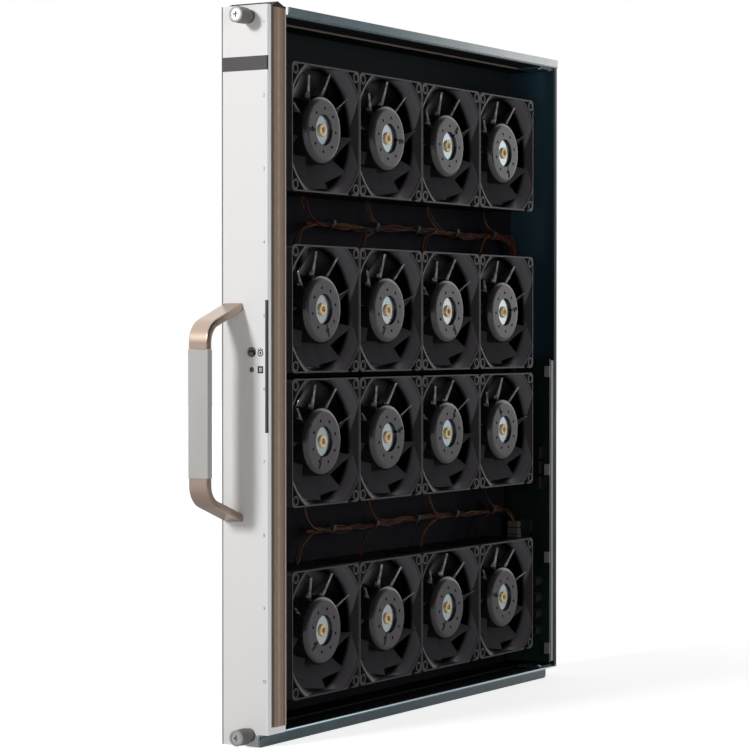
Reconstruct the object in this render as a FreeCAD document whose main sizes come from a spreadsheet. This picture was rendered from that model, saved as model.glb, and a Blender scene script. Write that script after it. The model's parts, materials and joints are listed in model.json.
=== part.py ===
import FreeCAD, Part
import math
import os
import re
import Sketcher

# Hot-swap fan tray for a modular chassis: a tall, narrow front plate with a bow handle and two
# captive screws, and behind it a sheet-metal tray with four rows of four axial fans.
# Frame: X points out of the intake side, Y runs from the front plate to the rear, Z is up.
# X = 0 is the middle of the tray's width, Y = 0 the middle of the fan grid, Z = 0 the base.

SIZES = {
    # tray
    "tray_wall": (1.2, "sheet thickness of the tray"),
    "front_gap": (35.4, "first column to the front plate's face"),
    "rear_gap": (37.7, "last column to the rear wall's outer face"),
    "floor_height": (7.4, "upper face of the floor above the base"),
    "runner_rise": (6.6, "upper edge of the roof's side lips over its lower face"),
    "runner_end": (18.4, "floor lips stop this far before the rear"),
    "runner_start": (32.3, "roof lips start this far behind the plate's face"),
    "bend_radius": (1.8, "outside of the sheet bends"),
    "flange_width": (18.4, "outlet panel's top and bottom flanges"),
    "rear_flange": (5.0, "rear wall's flange at the intake side"),
    "tab_length": (26.0, "rear wall's tabs under the roof and on the floor"),
    "rivet_radius": (1.6, "rivets through the tabs"),
    "rivet_inset": (4.3, "intake face to the rivets"),
    # front plate
    "plate_width": (33.8, "front plate"),
    "plate_rise": (4.8, "front plate over the roof's lower face"),
    "plate_wall": (1.2, "sheet thickness of the front plate"),
    "plate_overhang": (5.0, "plate beyond the tray's intake face"),
    "return_depth": (20.0, "plate's bent sides"),
    "plate_bend": (1.0, "outside of the plate's bends"),
    "notch_side": (0.9, "lower corner, beside the floor's lip"),
    "notch_gap": (0.2, "lower corner, over the floor's lip"),
    "gasket_width": (13.3, "side and top gaskets"),
    "gasket_thickness": (1.2, "side gasket"),
    "gasket_rise": (2.7, "top gasket's ridge over the plate"),
    "gasket_setback": (6.0, "plate's face to the gaskets"),
    "gasket_foot": (12.0, "base to the side gasket's lower end"),
    # handle
    "handle_height": (203.5, "middle of the handle above the base"),
    "handle_inset": (25.05, "plate's intake edge to the handle's middle"),
    "handle_span": (133.4, "over the arms at the plate"),
    "handle_reach": (37.6, "plate's face to the grip's face"),
    "handle_width": (14.4, "along X"),
    "handle_band": (4.6, "thickness of arms and grip"),
    "handle_drop": (13.4, "slope of each arm over the reach"),
    "handle_bend": (15.0, "outside of the bend"),
    "handle_edge": (1.3, "rounding of the long edges"),
    "grip_length": (77.4, "between the arms"),
    "grip_pin": (3.0, "arms' spigots in the grip"),
    "screw_radius": (1.5, "handle screws"),
    # captive screws
    "captive_inset": (13.1, "plate's intake edge to the captive screws"),
    "captive_margin": (7.0, "plate's ends to the captive screws"),
    "knob_radius": (5.0, "captive screw's knob"),
    "knob_length": (10.5, "captive screw's knob"),
    "knob_rest": (4.7, "plate's face to the released knob"),
    "knob_teeth": (24, "grooves round the knob"),
    "shank_radius": (2.0, "captive screw in its guide"),
    "thread_step": (0.5, "captive screw, thread under the guided part"),
    "head_height": (2.4, "captive screw's head, sunk in the knob"),
    "head_depth": (0.35, "captive screw's head below the knob's face"),
    "shank_reach": (7.5, "behind the plate's face, released"),
    "well_wall": (0.53, "guide's wall and the gap round the spring"),
    "ferrule_length": (5.0, "in front of the plate"),
    "spring_gap": (0.37, "spring round the shank"),
    "spring_wire": (0.5, "wire diameter"),
    "spring_turns": (5, "captive screw's spring"),
    # indicators
    "button_height": (240.4, "beacon button above the base"),
    "button_inset": (11.5, "plate's intake edge to the indicators"),
    "button_radius": (3.0, "beacon button"),
    "button_travel": (1.0, "beacon button"),
    "status_drop": (10.65, "beacon button down to the status light"),
    "status_radius": (1.6, "status light"),
    "running_gap": (0.15, "button and knob in their guides"),
    "indicator_setback": (7.0, "plate's face to the indicator board"),
    # fans
    "fan_size": (80.0, "square frame"),
    "fan_depth": (38.0, "frame"),
    "column_gap": (0.6, "between columns"),
    "head_gap": (26.1, "first row to the roof"),
    "upper_gap": (33.0, "between the first and second row"),
    "middle_gap": (3.6, "between the second and third row"),
    "lower_gap": (39.6, "between the third and fourth row"),
    "sill_gap": (16.5, "fourth row to the floor"),
    "face_setback": (0.4, "tray's intake face to the frames' faces"),
    "hole_margin": (4.25, "frame's edge to the mounting holes"),
    "hole_radius": (2.15, "fan mounting holes"),
    "boss_radius": (3.35, "ring round a mounting hole"),
    "frame_wall": (1.0, "outer walls of the frame and of the inlet bell"),
    "frame_corner": (3.4, "rounded corners of the frame"),
    "wire_notch": (5.0, "notch for the fan's lead in the frame's lower wall"),
    "duct_wall": (2.0, "frame's edge to the throat round the blades"),
    "bell_flare": (7.4, "throat to the inlet bell's rim at the face"),
    "bell_depth": (11.0, "inlet bell"),
    "bell_curve": (13.0, "radius of the bell's section"),
    "corner_floor": (8.0, "material behind the pockets beside the bosses"),
    "back_plate": (4.0, "thickness of the motor base and vanes"),
    "motor_rim": (1.0, "motor base beyond the hub"),
    "vane_width": (2.6, "vanes that carry the motor base"),
    "vane_count": (5, "vanes that carry the motor base"),
    "tube_radius": (5.4, "bearing tube"),
    "tube_front": (10.2, "frame's face to the bearing tube"),
    "bearing_radius": (4.0, "outside of the ball bearings"),
    "bearing_width": (3.0, "ball bearings"),
    "shaft_radius": (1.5, "fan shaft"),
    "shaft_gap": (0.05, "shaft in its bearings"),
    # impeller
    "hub_radius": (22.0, "impeller hub"),
    "hub_setback": (1.5, "frame's face to the hub's face"),
    "hub_round": (3.8, "rounding of the hub's edge"),
    "hub_gap": (1.6, "hub's open end to the motor base"),
    "hub_wall": (1.8, "skirt of the hub"),
    "hub_face": (2.6, "thickness of the hub's face"),
    "eye_radius": (9.75, "opening in the hub's face"),
    "boss_rise": (2.2, "shaft boss over the yoke"),
    "shaft_boss": (4.0, "radius of the shaft boss"),
    "blade_count": (9, "impeller blades"),
    "blade_wall": (1.5, "blade thickness"),
    "blade_camber": (46.0, "radius of the blade's section"),
    "tip_gap": (0.9, "blade tips in the throat"),
    "root_plane": (14.0, "blade section inside the hub"),
    "tip_overrun": (2.9, "blade section beyond the tips"),
    "lead_root_depth": (9.8, "leading edge at the root plane, from the frame's face"),
    "lead_tip_depth": (-0.2, "leading edge at the tip plane"),
    "root_overrun": (0.6, "trailing edge at the root plane, behind the hub's open end"),
    "trail_tip_depth": (19.1, "trailing edge at the tip plane"),
    "lead_root_angle": (-11.6, "leading edge at the root plane, clockwise from the top"),
    "lead_tip_angle": (-21.1, "leading edge at the tip plane"),
    "trail_root_angle": (23.3, "trailing edge at the root plane"),
    "trail_tip_angle": (16.8, "trailing edge at the tip plane"),
    "balance_circle": (13.7, "circle of balance holes"),
    "balance_radius": (1.0, "balance holes"),
    "balance_count": (8, "balance holes"),
    # control board
    "board_wall": (1.6, "circuit boards"),
    "board_gap": (8.0, "control board to the rear wall"),
    "board_lift": (2.6, "control board over the floor"),
    "board_length": (223.0, "control board"),
    "board_margin": (0.9, "control board to the intake face"),
    "connector_height": (90.0, "middle of the rear connector"),
    "connector_length": (60.0, "rear connector"),
    "connector_width": (15.0, "rear connector"),
    "connector_reach": (8.0, "rear connector beyond the rear wall"),
    # wiring
    "bundle_radius": (3.4, "wire bundle"),
    "lead_radius": (1.4, "lead of one fan"),
    "upper_rise": (15.9, "upper bundle over the second row"),
    "lower_rise": (20.1, "lower bundle over the fourth row"),
    "bundle_bend": (8.0, "bundles' bends, to the middle"),
    # sizes that follow from the others
    "tray_width": ("=tray_wall + fan_depth + face_setback", "outlet face to intake face"),
    "fan_pitch": ("=fan_size + column_gap", "between the shafts of two columns"),
    "front_reach": ("=2 * fan_pitch + front_gap", "fan grid centre to the front plate's face"),
    "rear_reach": ("=2 * fan_pitch + rear_gap", "fan grid centre to the rear wall's outer face"),
    "row_4": ("=floor_height + sill_gap + fan_size / 2", "fourth row's shafts above the base"),
    "row_3": ("=row_4 + fan_size + lower_gap", "third row"),
    "row_2": ("=row_3 + fan_size + middle_gap", "second row"),
    "row_1": ("=row_2 + fan_size + upper_gap", "first row"),
    "roof_height": ("=row_1 + fan_size / 2 + head_gap", "lower face of the roof above the base"),
    "runner_top": ("=roof_height + runner_rise", "upper edge of the roof's side lips"),
    "plate_height": ("=roof_height + plate_rise", "front plate"),
    "notch_width": ("=plate_overhang + tray_wall + notch_side", "lower corner, clear of the floor's lip"),
    "notch_height": ("=floor_height + notch_gap", "lower corner, clear of the floor's lip"),
    "thread_radius": ("=shank_radius - thread_step", "captive screw's thread"),
    "spring_radius": ("=shank_radius + spring_gap + spring_wire / 2", "middle of the wire"),
    "ferrule_radius": ("=spring_radius + spring_wire / 2 + well_wall", "guide of the captive screw"),
    "status_height": ("=button_height - status_drop", "status light above the base"),
    "hole_spacing": ("=fan_size - 2 * hole_margin", "fan mounting holes"),
    "duct_radius": ("=fan_size / 2 - duct_wall", "throat round the blades"),
    "bell_radius": ("=duct_radius + bell_flare", "inlet bell at the face"),
    "corner_depth": ("=fan_depth - corner_floor", "pockets beside the bosses"),
    "motor_base": ("=hub_radius + motor_rim", "radius of the motor base"),
    "hub_rear": ("=fan_depth - back_plate - hub_gap", "frame's face to the hub's open end"),
    "tip_radius": ("=duct_radius - tip_gap", "blade tips"),
    "tip_plane": ("=tip_radius + tip_overrun", "blade section beyond the tips"),
    "trail_root_depth": ("=hub_rear + root_overrun", "trailing edge at the root plane"),
    "board_foot": ("=floor_height + board_lift", "control board's lower edge"),
    "board_head": ("=board_foot + board_length", "control board's upper edge"),
    "upper_bundle": ("=row_2 + fan_size / 2 + upper_rise", "upper bundle above the base"),
    "lower_bundle": ("=row_4 + fan_size / 2 + lower_rise", "lower bundle above the base"),
}
ROWS = ("row_1", "row_2", "row_3", "row_4")
COLUMNS = (-1.5, -0.5, 0.5, 1.5)
# Where each impeller came to rest: degrees clockwise, seen from the intake side.
REST_ANGLES = ((274, 99, 46, 166), (168, 214, 156, 87), (206, 77, 32, 337), (238, 208, 218, 286))
CLIP_HEIGHTS = ("board_foot + 10.6", "board_foot + 77.5", "board_foot + 142", "board_head - 9")
TURN_TO_Y = FreeCAD.Rotation(FreeCAD.Vector(0, 0, 1), 90)
UPRIGHT = FreeCAD.Rotation()

doc = FreeCAD.newDocument("FanTray")
sheet = doc.addObject("Spreadsheet::Sheet", "Sizes")
for line, (alias, (size, note)) in enumerate(SIZES.items(), start=1):
    sheet.set(f"A{line}", note)
    sheet.set(f"B{line}", str(size))
    sheet.setAlias(f"B{line}", alias)
doc.recompute()
parts = {}


def bound(formula):
    """The sheet's expression for a formula that uses the names of the sizes."""
    return re.sub(r"[a-z]\w*", lambda w: f"Sizes.{w[0]}" if w[0] in SIZES else w[0], formula)


def number(formula):
    return float(sheet.evalExpression(bound(formula)))


def part(node, shape):
    """Name a finished sub-part."""
    shape.Label = node
    parts[node] = shape
    return shape


def new_body(name):
    return doc.addObject("PartDesign::Body", name)


def origin(body, role):
    return next(item for item in body.Origin.OriginFeatures if item.Role == role)


def attached(body, name, plane, offset):
    drawing = body.newObject("Sketcher::SketchObject", name)
    drawing.AttachmentSupport = (origin(body, plane), [""])
    drawing.MapMode = "FlatFace"
    drawing.setExpression("AttachmentOffset.Base.z", bound(offset))
    return drawing


def place_point(drawing, geometry, position, u, v):
    for kind, formula in (("DistanceX", u), ("DistanceY", v)):
        index = drawing.addConstraint(
            Sketcher.Constraint(kind, -1, 1, geometry, position, number(formula)))
        drawing.setExpression(f"Constraints[{index}]", bound(formula))


def draw_loop(drawing, loop):
    """Closed outline through points (u, v). A point (u, v, radius, side) starts an arc whose
    centre is to the left of travel for side 1 and to the right for side -1."""
    points = [FreeCAD.Vector(number(p[0]), number(p[1]), 0) for p in loop]
    first = drawing.GeometryCount
    ends = []
    for index, point in enumerate(points):
        following = points[(index + 1) % len(points)]
        if len(loop[index]) == 2:
            drawing.addGeometry(Part.LineSegment(point, following))
            ends.append((1, 2))
            continue
        radius, side = number(loop[index][2]), loop[index][3]
        half = (following - point) * 0.5
        left = FreeCAD.Vector(-half.y, half.x, 0).normalize()
        middle = point + half + left * (side * math.sqrt(radius ** 2 - half.Length ** 2))
        start, stop = (point, following) if side > 0 else (following, point)
        angles = [math.atan2(p.y - middle.y, p.x - middle.x) for p in (start, stop)]
        circle = Part.Circle(middle, FreeCAD.Vector(0, 0, 1), radius)
        drawing.addGeometry(Part.ArcOfCircle(circle, *angles))
        ends.append((1, 2) if side > 0 else (2, 1))
    for index in range(len(loop)):
        after = (index + 1) % len(loop)
        drawing.addConstraint(
            Sketcher.Constraint("Coincident", first + index, ends[index][1], first + after, ends[after][0]))
        place_point(drawing, first + index, ends[index][0], loop[index][0], loop[index][1])
        if len(loop[index]) > 2:
            radius = drawing.addConstraint(
                Sketcher.Constraint("Radius", first + index, number(loop[index][2])))
            drawing.setExpression(f"Constraints[{radius}]", bound(loop[index][2]))


def outline(body, name, plane, *loops, offset="0"):
    drawing = attached(body, name, plane, offset)
    for loop in loops:
        draw_loop(drawing, loop)
    return drawing


def circles(body, name, plane, holes, offset="0"):
    """Sketch of circles (u, v, radius)."""
    drawing = attached(body, name, plane, offset)
    for u, v, radius in holes:
        centre = FreeCAD.Vector(number(u), number(v), 0)
        index = drawing.addGeometry(Part.Circle(centre, FreeCAD.Vector(0, 0, 1), number(radius)))
        place_point(drawing, index, 3, u, v)
        limit = drawing.addConstraint(Sketcher.Constraint("Radius", index, number(radius)))
        drawing.setExpression(f"Constraints[{limit}]", bound(radius))
    return drawing


def rectangle(u0, v0, u1, v1):
    return [(u0, v0), (u1, v0), (u1, v1), (u0, v1)]


def feature(body, kind, name, drawing):
    made = body.newObject(f"PartDesign::{kind}", name)
    made.Profile = drawing
    return made


def pad(body, name, drawing, length):
    made = feature(body, "Pad", name, drawing)
    made.setExpression("Length", bound(length))
    return made


def pocket(body, name, drawing, depth=None, flip=False):
    """Cut to a depth along the sketch's normal, or right through both ways."""
    doc.recompute()
    before = body.Shape.Volume
    made = feature(body, "Pocket", name, drawing)
    if depth is None:
        made.Type = "ThroughAll"
        made.Midplane = True
    else:
        made.setExpression("Length", bound(depth))
        made.Reversed = flip
    doc.recompute()
    if body.Shape.Volume > before - 1e-6:
        raise RuntimeError(f"{name} cuts nothing")
    return made


def turned(body, name, drawing, kind="Revolution"):
    """Solid of revolution, or a groove, about the sketch's horizontal axis."""
    made = feature(body, kind, name, drawing)
    made.ReferenceAxis = (drawing, ["H_Axis"])
    made.Angle = 360
    return made


def polar(body, name, original, count, plane_axis="X_Axis"):
    made = body.newObject("PartDesign::PolarPattern", name)
    made.Originals = [original]
    made.Axis = (origin(body, plane_axis), [""])
    made.Angle = 360
    made.setExpression("Occurrences", bound(count))
    body.Tip = made
    return made


def along(edge, axis):
    if not isinstance(edge.Curve, Part.Line):
        return False
    return abs(edge.Curve.Direction.dot(axis)) > 0.999


def middle_of(edge):
    return edge.valueAt((edge.FirstParameter + edge.LastParameter) / 2)


def fillet(body, name, radius, chosen):
    """Round the edges of the body that a test picks."""
    doc.recompute()
    base = body.Tip
    names = [f"Edge{i}" for i, e in enumerate(base.Shape.Edges, start=1) if chosen(e)]
    if not names:
        raise RuntimeError(f"{name} finds no edge")
    made = body.newObject("PartDesign::Fillet", name)
    made.Base = (base, names)
    made.setExpression("Radius", bound(radius))
    body.Tip = made
    return made


def box(name, x0, y0, z0, x1, y1, z1):
    made = doc.addObject("Part::Box", name)
    for axis, size, low, high in (("x", "Length", x0, x1), ("y", "Width", y0, y1), ("z", "Height", z0, z1)):
        made.setExpression(f"Placement.Base.{axis}", bound(low))
        made.setExpression(size, bound(f"({high}) - ({low})"))
    return made


def rod(name, direction, x, y, z, radius, length):
    """Cylinder from a point along +X, +Y or +Z."""
    made = doc.addObject("Part::Cylinder", name)
    made.setExpression("Radius", bound(radius))
    made.setExpression("Height", bound(length))
    made.Placement.Rotation = FreeCAD.Rotation(FreeCAD.Vector(0, 0, 1), direction)
    for axis, formula in (("x", x), ("y", y), ("z", z)):
        made.setExpression(f"Placement.Base.{axis}", bound(formula))
    return made


def copy_of(source, name, x, y, z, rotation=UPRIGHT):
    made = doc.addObject("App::Link", name)
    made.LinkedObject = source
    made.Placement = FreeCAD.Placement(FreeCAD.Vector(), rotation)
    for axis, formula in (("x", x), ("y", y), ("z", z)):
        made.setExpression(f"Placement.Base.{axis}", bound(formula))
    return made


def group(name, members):
    made = doc.addObject("Part::Compound", name)
    made.Links = members
    return made


X_AXIS = FreeCAD.Vector(1, 0, 0)
Y_AXIS = FreeCAD.Vector(0, 1, 0)
Z_AXIS = FreeCAD.Vector(0, 0, 1)
OUTLET = "-tray_width / 2"
INTAKE = "tray_width / 2"
PLATE_FACE = "-front_reach"
PLATE_RIGHT = "tray_width / 2 + plate_overhang"
PLATE_LEFT = "tray_width / 2 + plate_overhang - plate_width"
TRAY_FRONT = "-front_reach + return_depth + 0.5"
FAN_FACE = "-tray_width / 2 + tray_wall + fan_depth"
CAPTIVE_X = "tray_width / 2 + plate_overhang - captive_inset"
CAPTIVE_HEIGHTS = {"upper": "plate_height - captive_margin", "lower": "captive_margin"}
LIGHT_X = "tray_width / 2 + plate_overhang - button_inset"
HANDLE_X = "tray_width / 2 + plate_overhang - handle_inset"


def fan_places():
    """Row, column and centre of each fan."""
    for row, height in enumerate(ROWS, start=1):
        for column, place in enumerate(COLUMNS, start=1):
            yield row, column, f"{place} * fan_pitch", height


def pad_along_y(body, name, loop, low, high):
    """Pad an XZ outline from one Y to another."""
    drawing = outline(body, f"{name}_outline", "XZ_Plane", loop, offset=f"-({high})")
    return pad(body, name, drawing, f"({high}) - ({low})")


def front_plate():
    """Bent channel: the face, two sides and a short top, with its corner cut for the floor's lip."""
    body = new_body("faceplate")
    back = f"{PLATE_FACE} + return_depth"
    inner_left = f"{PLATE_LEFT} + plate_wall"
    inner_right = f"{PLATE_RIGHT} - plate_wall"
    inner_face = f"{PLATE_FACE} + plate_wall"
    channel = outline(body, "channel", "XY_Plane", [
        (PLATE_LEFT, PLATE_FACE), (PLATE_RIGHT, PLATE_FACE), (PLATE_RIGHT, back), (inner_right, back),
        (inner_right, inner_face), (inner_left, inner_face), (inner_left, back), (PLATE_LEFT, back)])
    pad(body, "channel_pad", channel, "plate_height")
    top = outline(body, "top_flange", "XY_Plane", rectangle(PLATE_LEFT, PLATE_FACE, PLATE_RIGHT, back),
                  offset="plate_height - plate_wall")
    pad(body, "top_flange_pad", top, "plate_wall")
    face = number(PLATE_FACE)
    fillet(body, "plate_bends", "plate_bend",
           lambda e: along(e, Z_AXIS) and abs(middle_of(e).y - face) < 0.01)
    holes = [(CAPTIVE_X, height, "ferrule_radius - 0.4") for height in CAPTIVE_HEIGHTS.values()]
    holes += [(HANDLE_X, height, "screw_radius + 0.1") for height in handle_screw_heights()]
    holes += [(LIGHT_X, "button_height", "button_radius + running_gap"),
              (LIGHT_X, "status_height", "status_radius + 0.05")]
    pocket(body, "plate_holes_cut", circles(body, "plate_holes", "XZ_Plane", holes))
    corner = outline(body, "corner_notch", "XZ_Plane", rectangle(
        f"{PLATE_RIGHT} - notch_width", "-1", f"{PLATE_RIGHT} + 1", "notch_height"))
    pocket(body, "corner_notch_cut", corner)
    edge_x = number(f"{PLATE_RIGHT} - notch_width")
    top_z = number("notch_height")
    fillet(body, "notch_round", "plate_bend", lambda e: along(e, Y_AXIS)
           and abs(middle_of(e).x - edge_x) < 0.01 and abs(middle_of(e).z - top_z) < 0.01)
    part("faceplate", body)


def gaskets():
    """Conductive strips: one on the plate's intake side, one ridge along its top."""
    side = new_body("side_gasket")
    near = f"{PLATE_FACE} + gasket_setback"
    far = f"{PLATE_FACE} + gasket_setback + gasket_width"
    strip = outline(side, "strip", "XY_Plane", rectangle(
        PLATE_RIGHT, near, f"{PLATE_RIGHT} + gasket_thickness", far), offset="gasket_foot")
    pad(side, "strip_pad", strip, "plate_height - gasket_foot")
    outer = number(f"{PLATE_RIGHT} + gasket_thickness")
    fillet(side, "strip_edges", "gasket_thickness * 0.5",
           lambda e: along(e, Z_AXIS) and abs(middle_of(e).x - outer) < 0.01)
    top = new_body("top_gasket")
    ridge = outline(top, "ridge", "YZ_Plane", [
        (near, "plate_height"), (far, "plate_height"),
        (f"{near} + gasket_width * 0.42", "plate_height + gasket_rise")], offset=PLATE_LEFT)
    pad(top, "ridge_pad", ridge, "plate_width")
    peak = number("plate_height + gasket_rise")
    fillet(top, "ridge_round", "gasket_rise * 0.3",
           lambda e: along(e, X_AXIS) and abs(middle_of(e).z - peak) < 0.01)
    part("emi_gasket", group("gaskets", [side, top]))


def floor():
    """Inverted channel whose lips straddle the chassis guide; one lip runs on into the plate's corner."""
    body = new_body("floor_plate")
    under = "floor_height - tray_wall"
    inner_left = f"{OUTLET} + tray_wall"
    inner_right = f"{INTAKE} - tray_wall"
    pad_along_y(body, "channel", [
        (OUTLET, "0"), (inner_left, "0"), (inner_left, under), (inner_right, under), (inner_right, "0"),
        (INTAKE, "0"), (INTAKE, "floor_height"), (OUTLET, "floor_height")], PLATE_FACE, "rear_reach")
    top = number("floor_height")
    fillet(body, "bends", "bend_radius", lambda e: along(e, Y_AXIS)
           and abs(middle_of(e).z - top) < 0.01 and abs(middle_of(e).x) > number(INTAKE) - 0.01)
    tongue = f"{INTAKE} - tray_wall"
    front = outline(body, "front_cut", "XY_Plane", rectangle(
        f"{OUTLET} - 1", f"{PLATE_FACE} - 1", tongue, TRAY_FRONT))
    pocket(body, "front_cut_away", front)
    lips = outline(body, "lip_ends", "YZ_Plane", [
        ("rear_reach - runner_end", under), ("rear_reach - runner_end", "floor_height * 0.35",
                                            "floor_height * 0.35", -1),
        ("rear_reach - runner_end - floor_height * 0.35", "0"),
        ("rear_reach - runner_end - floor_height * 0.35", "-1"),
        ("rear_reach + 1", "-1"), ("rear_reach + 1", under)])
    pocket(body, "lip_ends_cut", lips)
    rivet_holes(body)
    part("floor_plate", body)


def roof():
    """Upright channel on top of the tray; its lips start behind the plate."""
    body = new_body("top_plate")
    upper = "roof_height + tray_wall"
    inner_left = f"{OUTLET} + tray_wall"
    inner_right = f"{INTAKE} - tray_wall"
    pad_along_y(body, "channel", [
        (OUTLET, "roof_height"), (INTAKE, "roof_height"), (INTAKE, "runner_top"),
        (inner_right, "runner_top"), (inner_right, upper), (inner_left, upper),
        (inner_left, "runner_top"), (OUTLET, "runner_top")], TRAY_FRONT, "rear_reach")
    low = number("roof_height")
    fillet(body, "bends", "bend_radius", lambda e: along(e, Y_AXIS)
           and abs(middle_of(e).z - low) < 0.01)
    start = f"{PLATE_FACE} + runner_start"
    lips = outline(body, "lip_starts", "YZ_Plane", rectangle(
        f"{TRAY_FRONT} - 1", f"{upper} + 0.4", start, "runner_top + 1"))
    pocket(body, "lip_starts_cut", lips)
    rivet_holes(body)
    part("top_plate", body)


def rivet_places():
    """Rivets through the rear wall's tabs, seen from above."""
    return [(f"{INTAKE} - rivet_inset", f"rear_reach - {back}") for back in ("(tab_length - 3)", "7")]


def rivet_holes(body):
    holes = [(x, y, "rivet_radius + shaft_gap") for x, y in rivet_places()]
    pocket(body, f"{body.Name}_rivet_cut", circles(body, f"{body.Name}_rivet_holes", "XY_Plane", holes))


def rivets():
    """Domed rivets, flush on the guide's side."""
    body = new_body("rivet")
    half = outline(body, "rivet_half", "XY_Plane", [
        ("-1", "0"), ("-1", "rivet_radius * 0.8"), ("-0.5", "rivet_radius * 1.4"), ("0", "rivet_radius * 1.65"),
        ("0", "rivet_radius"), ("2 * tray_wall", "rivet_radius"), ("2 * tray_wall", "0")])
    turned(body, "rivet_turned", half)
    members = []
    for index, (x, y) in enumerate(rivet_places()):
        members.append(copy_of(body, f"roof_rivet_{index}", x, y, "roof_height - tray_wall",
                               FreeCAD.Rotation(X_AXIS, Z_AXIS)))
        members.append(copy_of(body, f"floor_rivet_{index}", x, y, "floor_height + tray_wall",
                               FreeCAD.Rotation(X_AXIS, FreeCAD.Vector(0, 0, -1))))
    part("rivets", group("rivet_set", members))


def outlet_side():
    """Panel that carries the fans, with an outlet and four screw holes for each."""
    body = new_body("outlet_panel")
    inner = f"{OUTLET} + tray_wall"
    edge = f"{OUTLET} + tray_wall + flange_width"
    pad_along_y(body, "panel", [
        (OUTLET, "floor_height"), (edge, "floor_height"), (edge, "floor_height + tray_wall"),
        (inner, "floor_height + tray_wall"), (inner, "roof_height - tray_wall"),
        (edge, "roof_height - tray_wall"), (edge, "roof_height"), (OUTLET, "roof_height")],
        TRAY_FRONT, "rear_reach - tray_wall")
    first = "-1.5 * fan_pitch"
    holes = []
    for height in ROWS:
        holes.append((first, height, "duct_radius"))
        for side in (-1, 1):
            for end in (-1, 1):
                holes.append((f"{first} + {side} * hole_spacing / 2", f"{height} + {end} * hole_spacing / 2",
                              "hole_radius"))
    column = pocket(body, "outlets", circles(body, "outlet_holes", "YZ_Plane", holes, offset=OUTLET),
                    "tray_wall", flip=True)
    repeat = body.newObject("PartDesign::LinearPattern", "outlet_columns")
    repeat.Originals = [column]
    repeat.Direction = (origin(body, "Y_Axis"), [""])
    repeat.setExpression("Length", bound("3 * fan_pitch"))
    repeat.Occurrences = len(COLUMNS)
    body.Tip = repeat
    part("outlet_panel", body)


def rear_side():
    """Rear wall with a flange at the intake side, a riveted tab at each end and the connector's window."""
    body = new_body("rear_wall")
    inner = "rear_reach - tray_wall"
    base = outline(body, "wall", "XY_Plane", [
        (OUTLET, inner), (f"{INTAKE} - tray_wall", inner),
        (f"{INTAKE} - tray_wall", "rear_reach - rear_flange"), (INTAKE, "rear_reach - rear_flange"),
        (INTAKE, "rear_reach"), (OUTLET, "rear_reach")], offset="floor_height")
    pad(body, "wall_pad", base, "roof_height - floor_height")
    outer = number("rear_reach")
    fillet(body, "wall_bend", "bend_radius", lambda e: along(e, Z_AXIS)
           and abs(middle_of(e).y - outer) < 0.01 and middle_of(e).x > 0)
    window = outline(body, "window", "XZ_Plane", rectangle(
        "-connector_width / 2 - 0.5", "connector_height - connector_length / 2 - 0.5",
        "connector_width / 2 + 0.5", "connector_height + connector_length / 2 + 0.5"))
    pocket(body, "window_cut", window)
    for name, low in (("roof_tab", "roof_height - tray_wall"), ("floor_tab", "floor_height")):
        tab = outline(body, name, "XY_Plane", rectangle(
            f"{OUTLET} + tray_wall + flange_width + 0.8", "rear_reach - tab_length", f"{INTAKE} - tray_wall", inner),
            offset=low)
        pad(body, f"{name}_pad", tab, "tray_wall")
    rivet_holes(body)
    part("rear_wall", body)


def handle_screw_heights():
    """Heights of the screws that hold the handle's two feet."""
    reach = "(handle_span / 2 - handle_band * 0.62)"
    return f"handle_height + {reach}", f"handle_height - {reach}"


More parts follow.
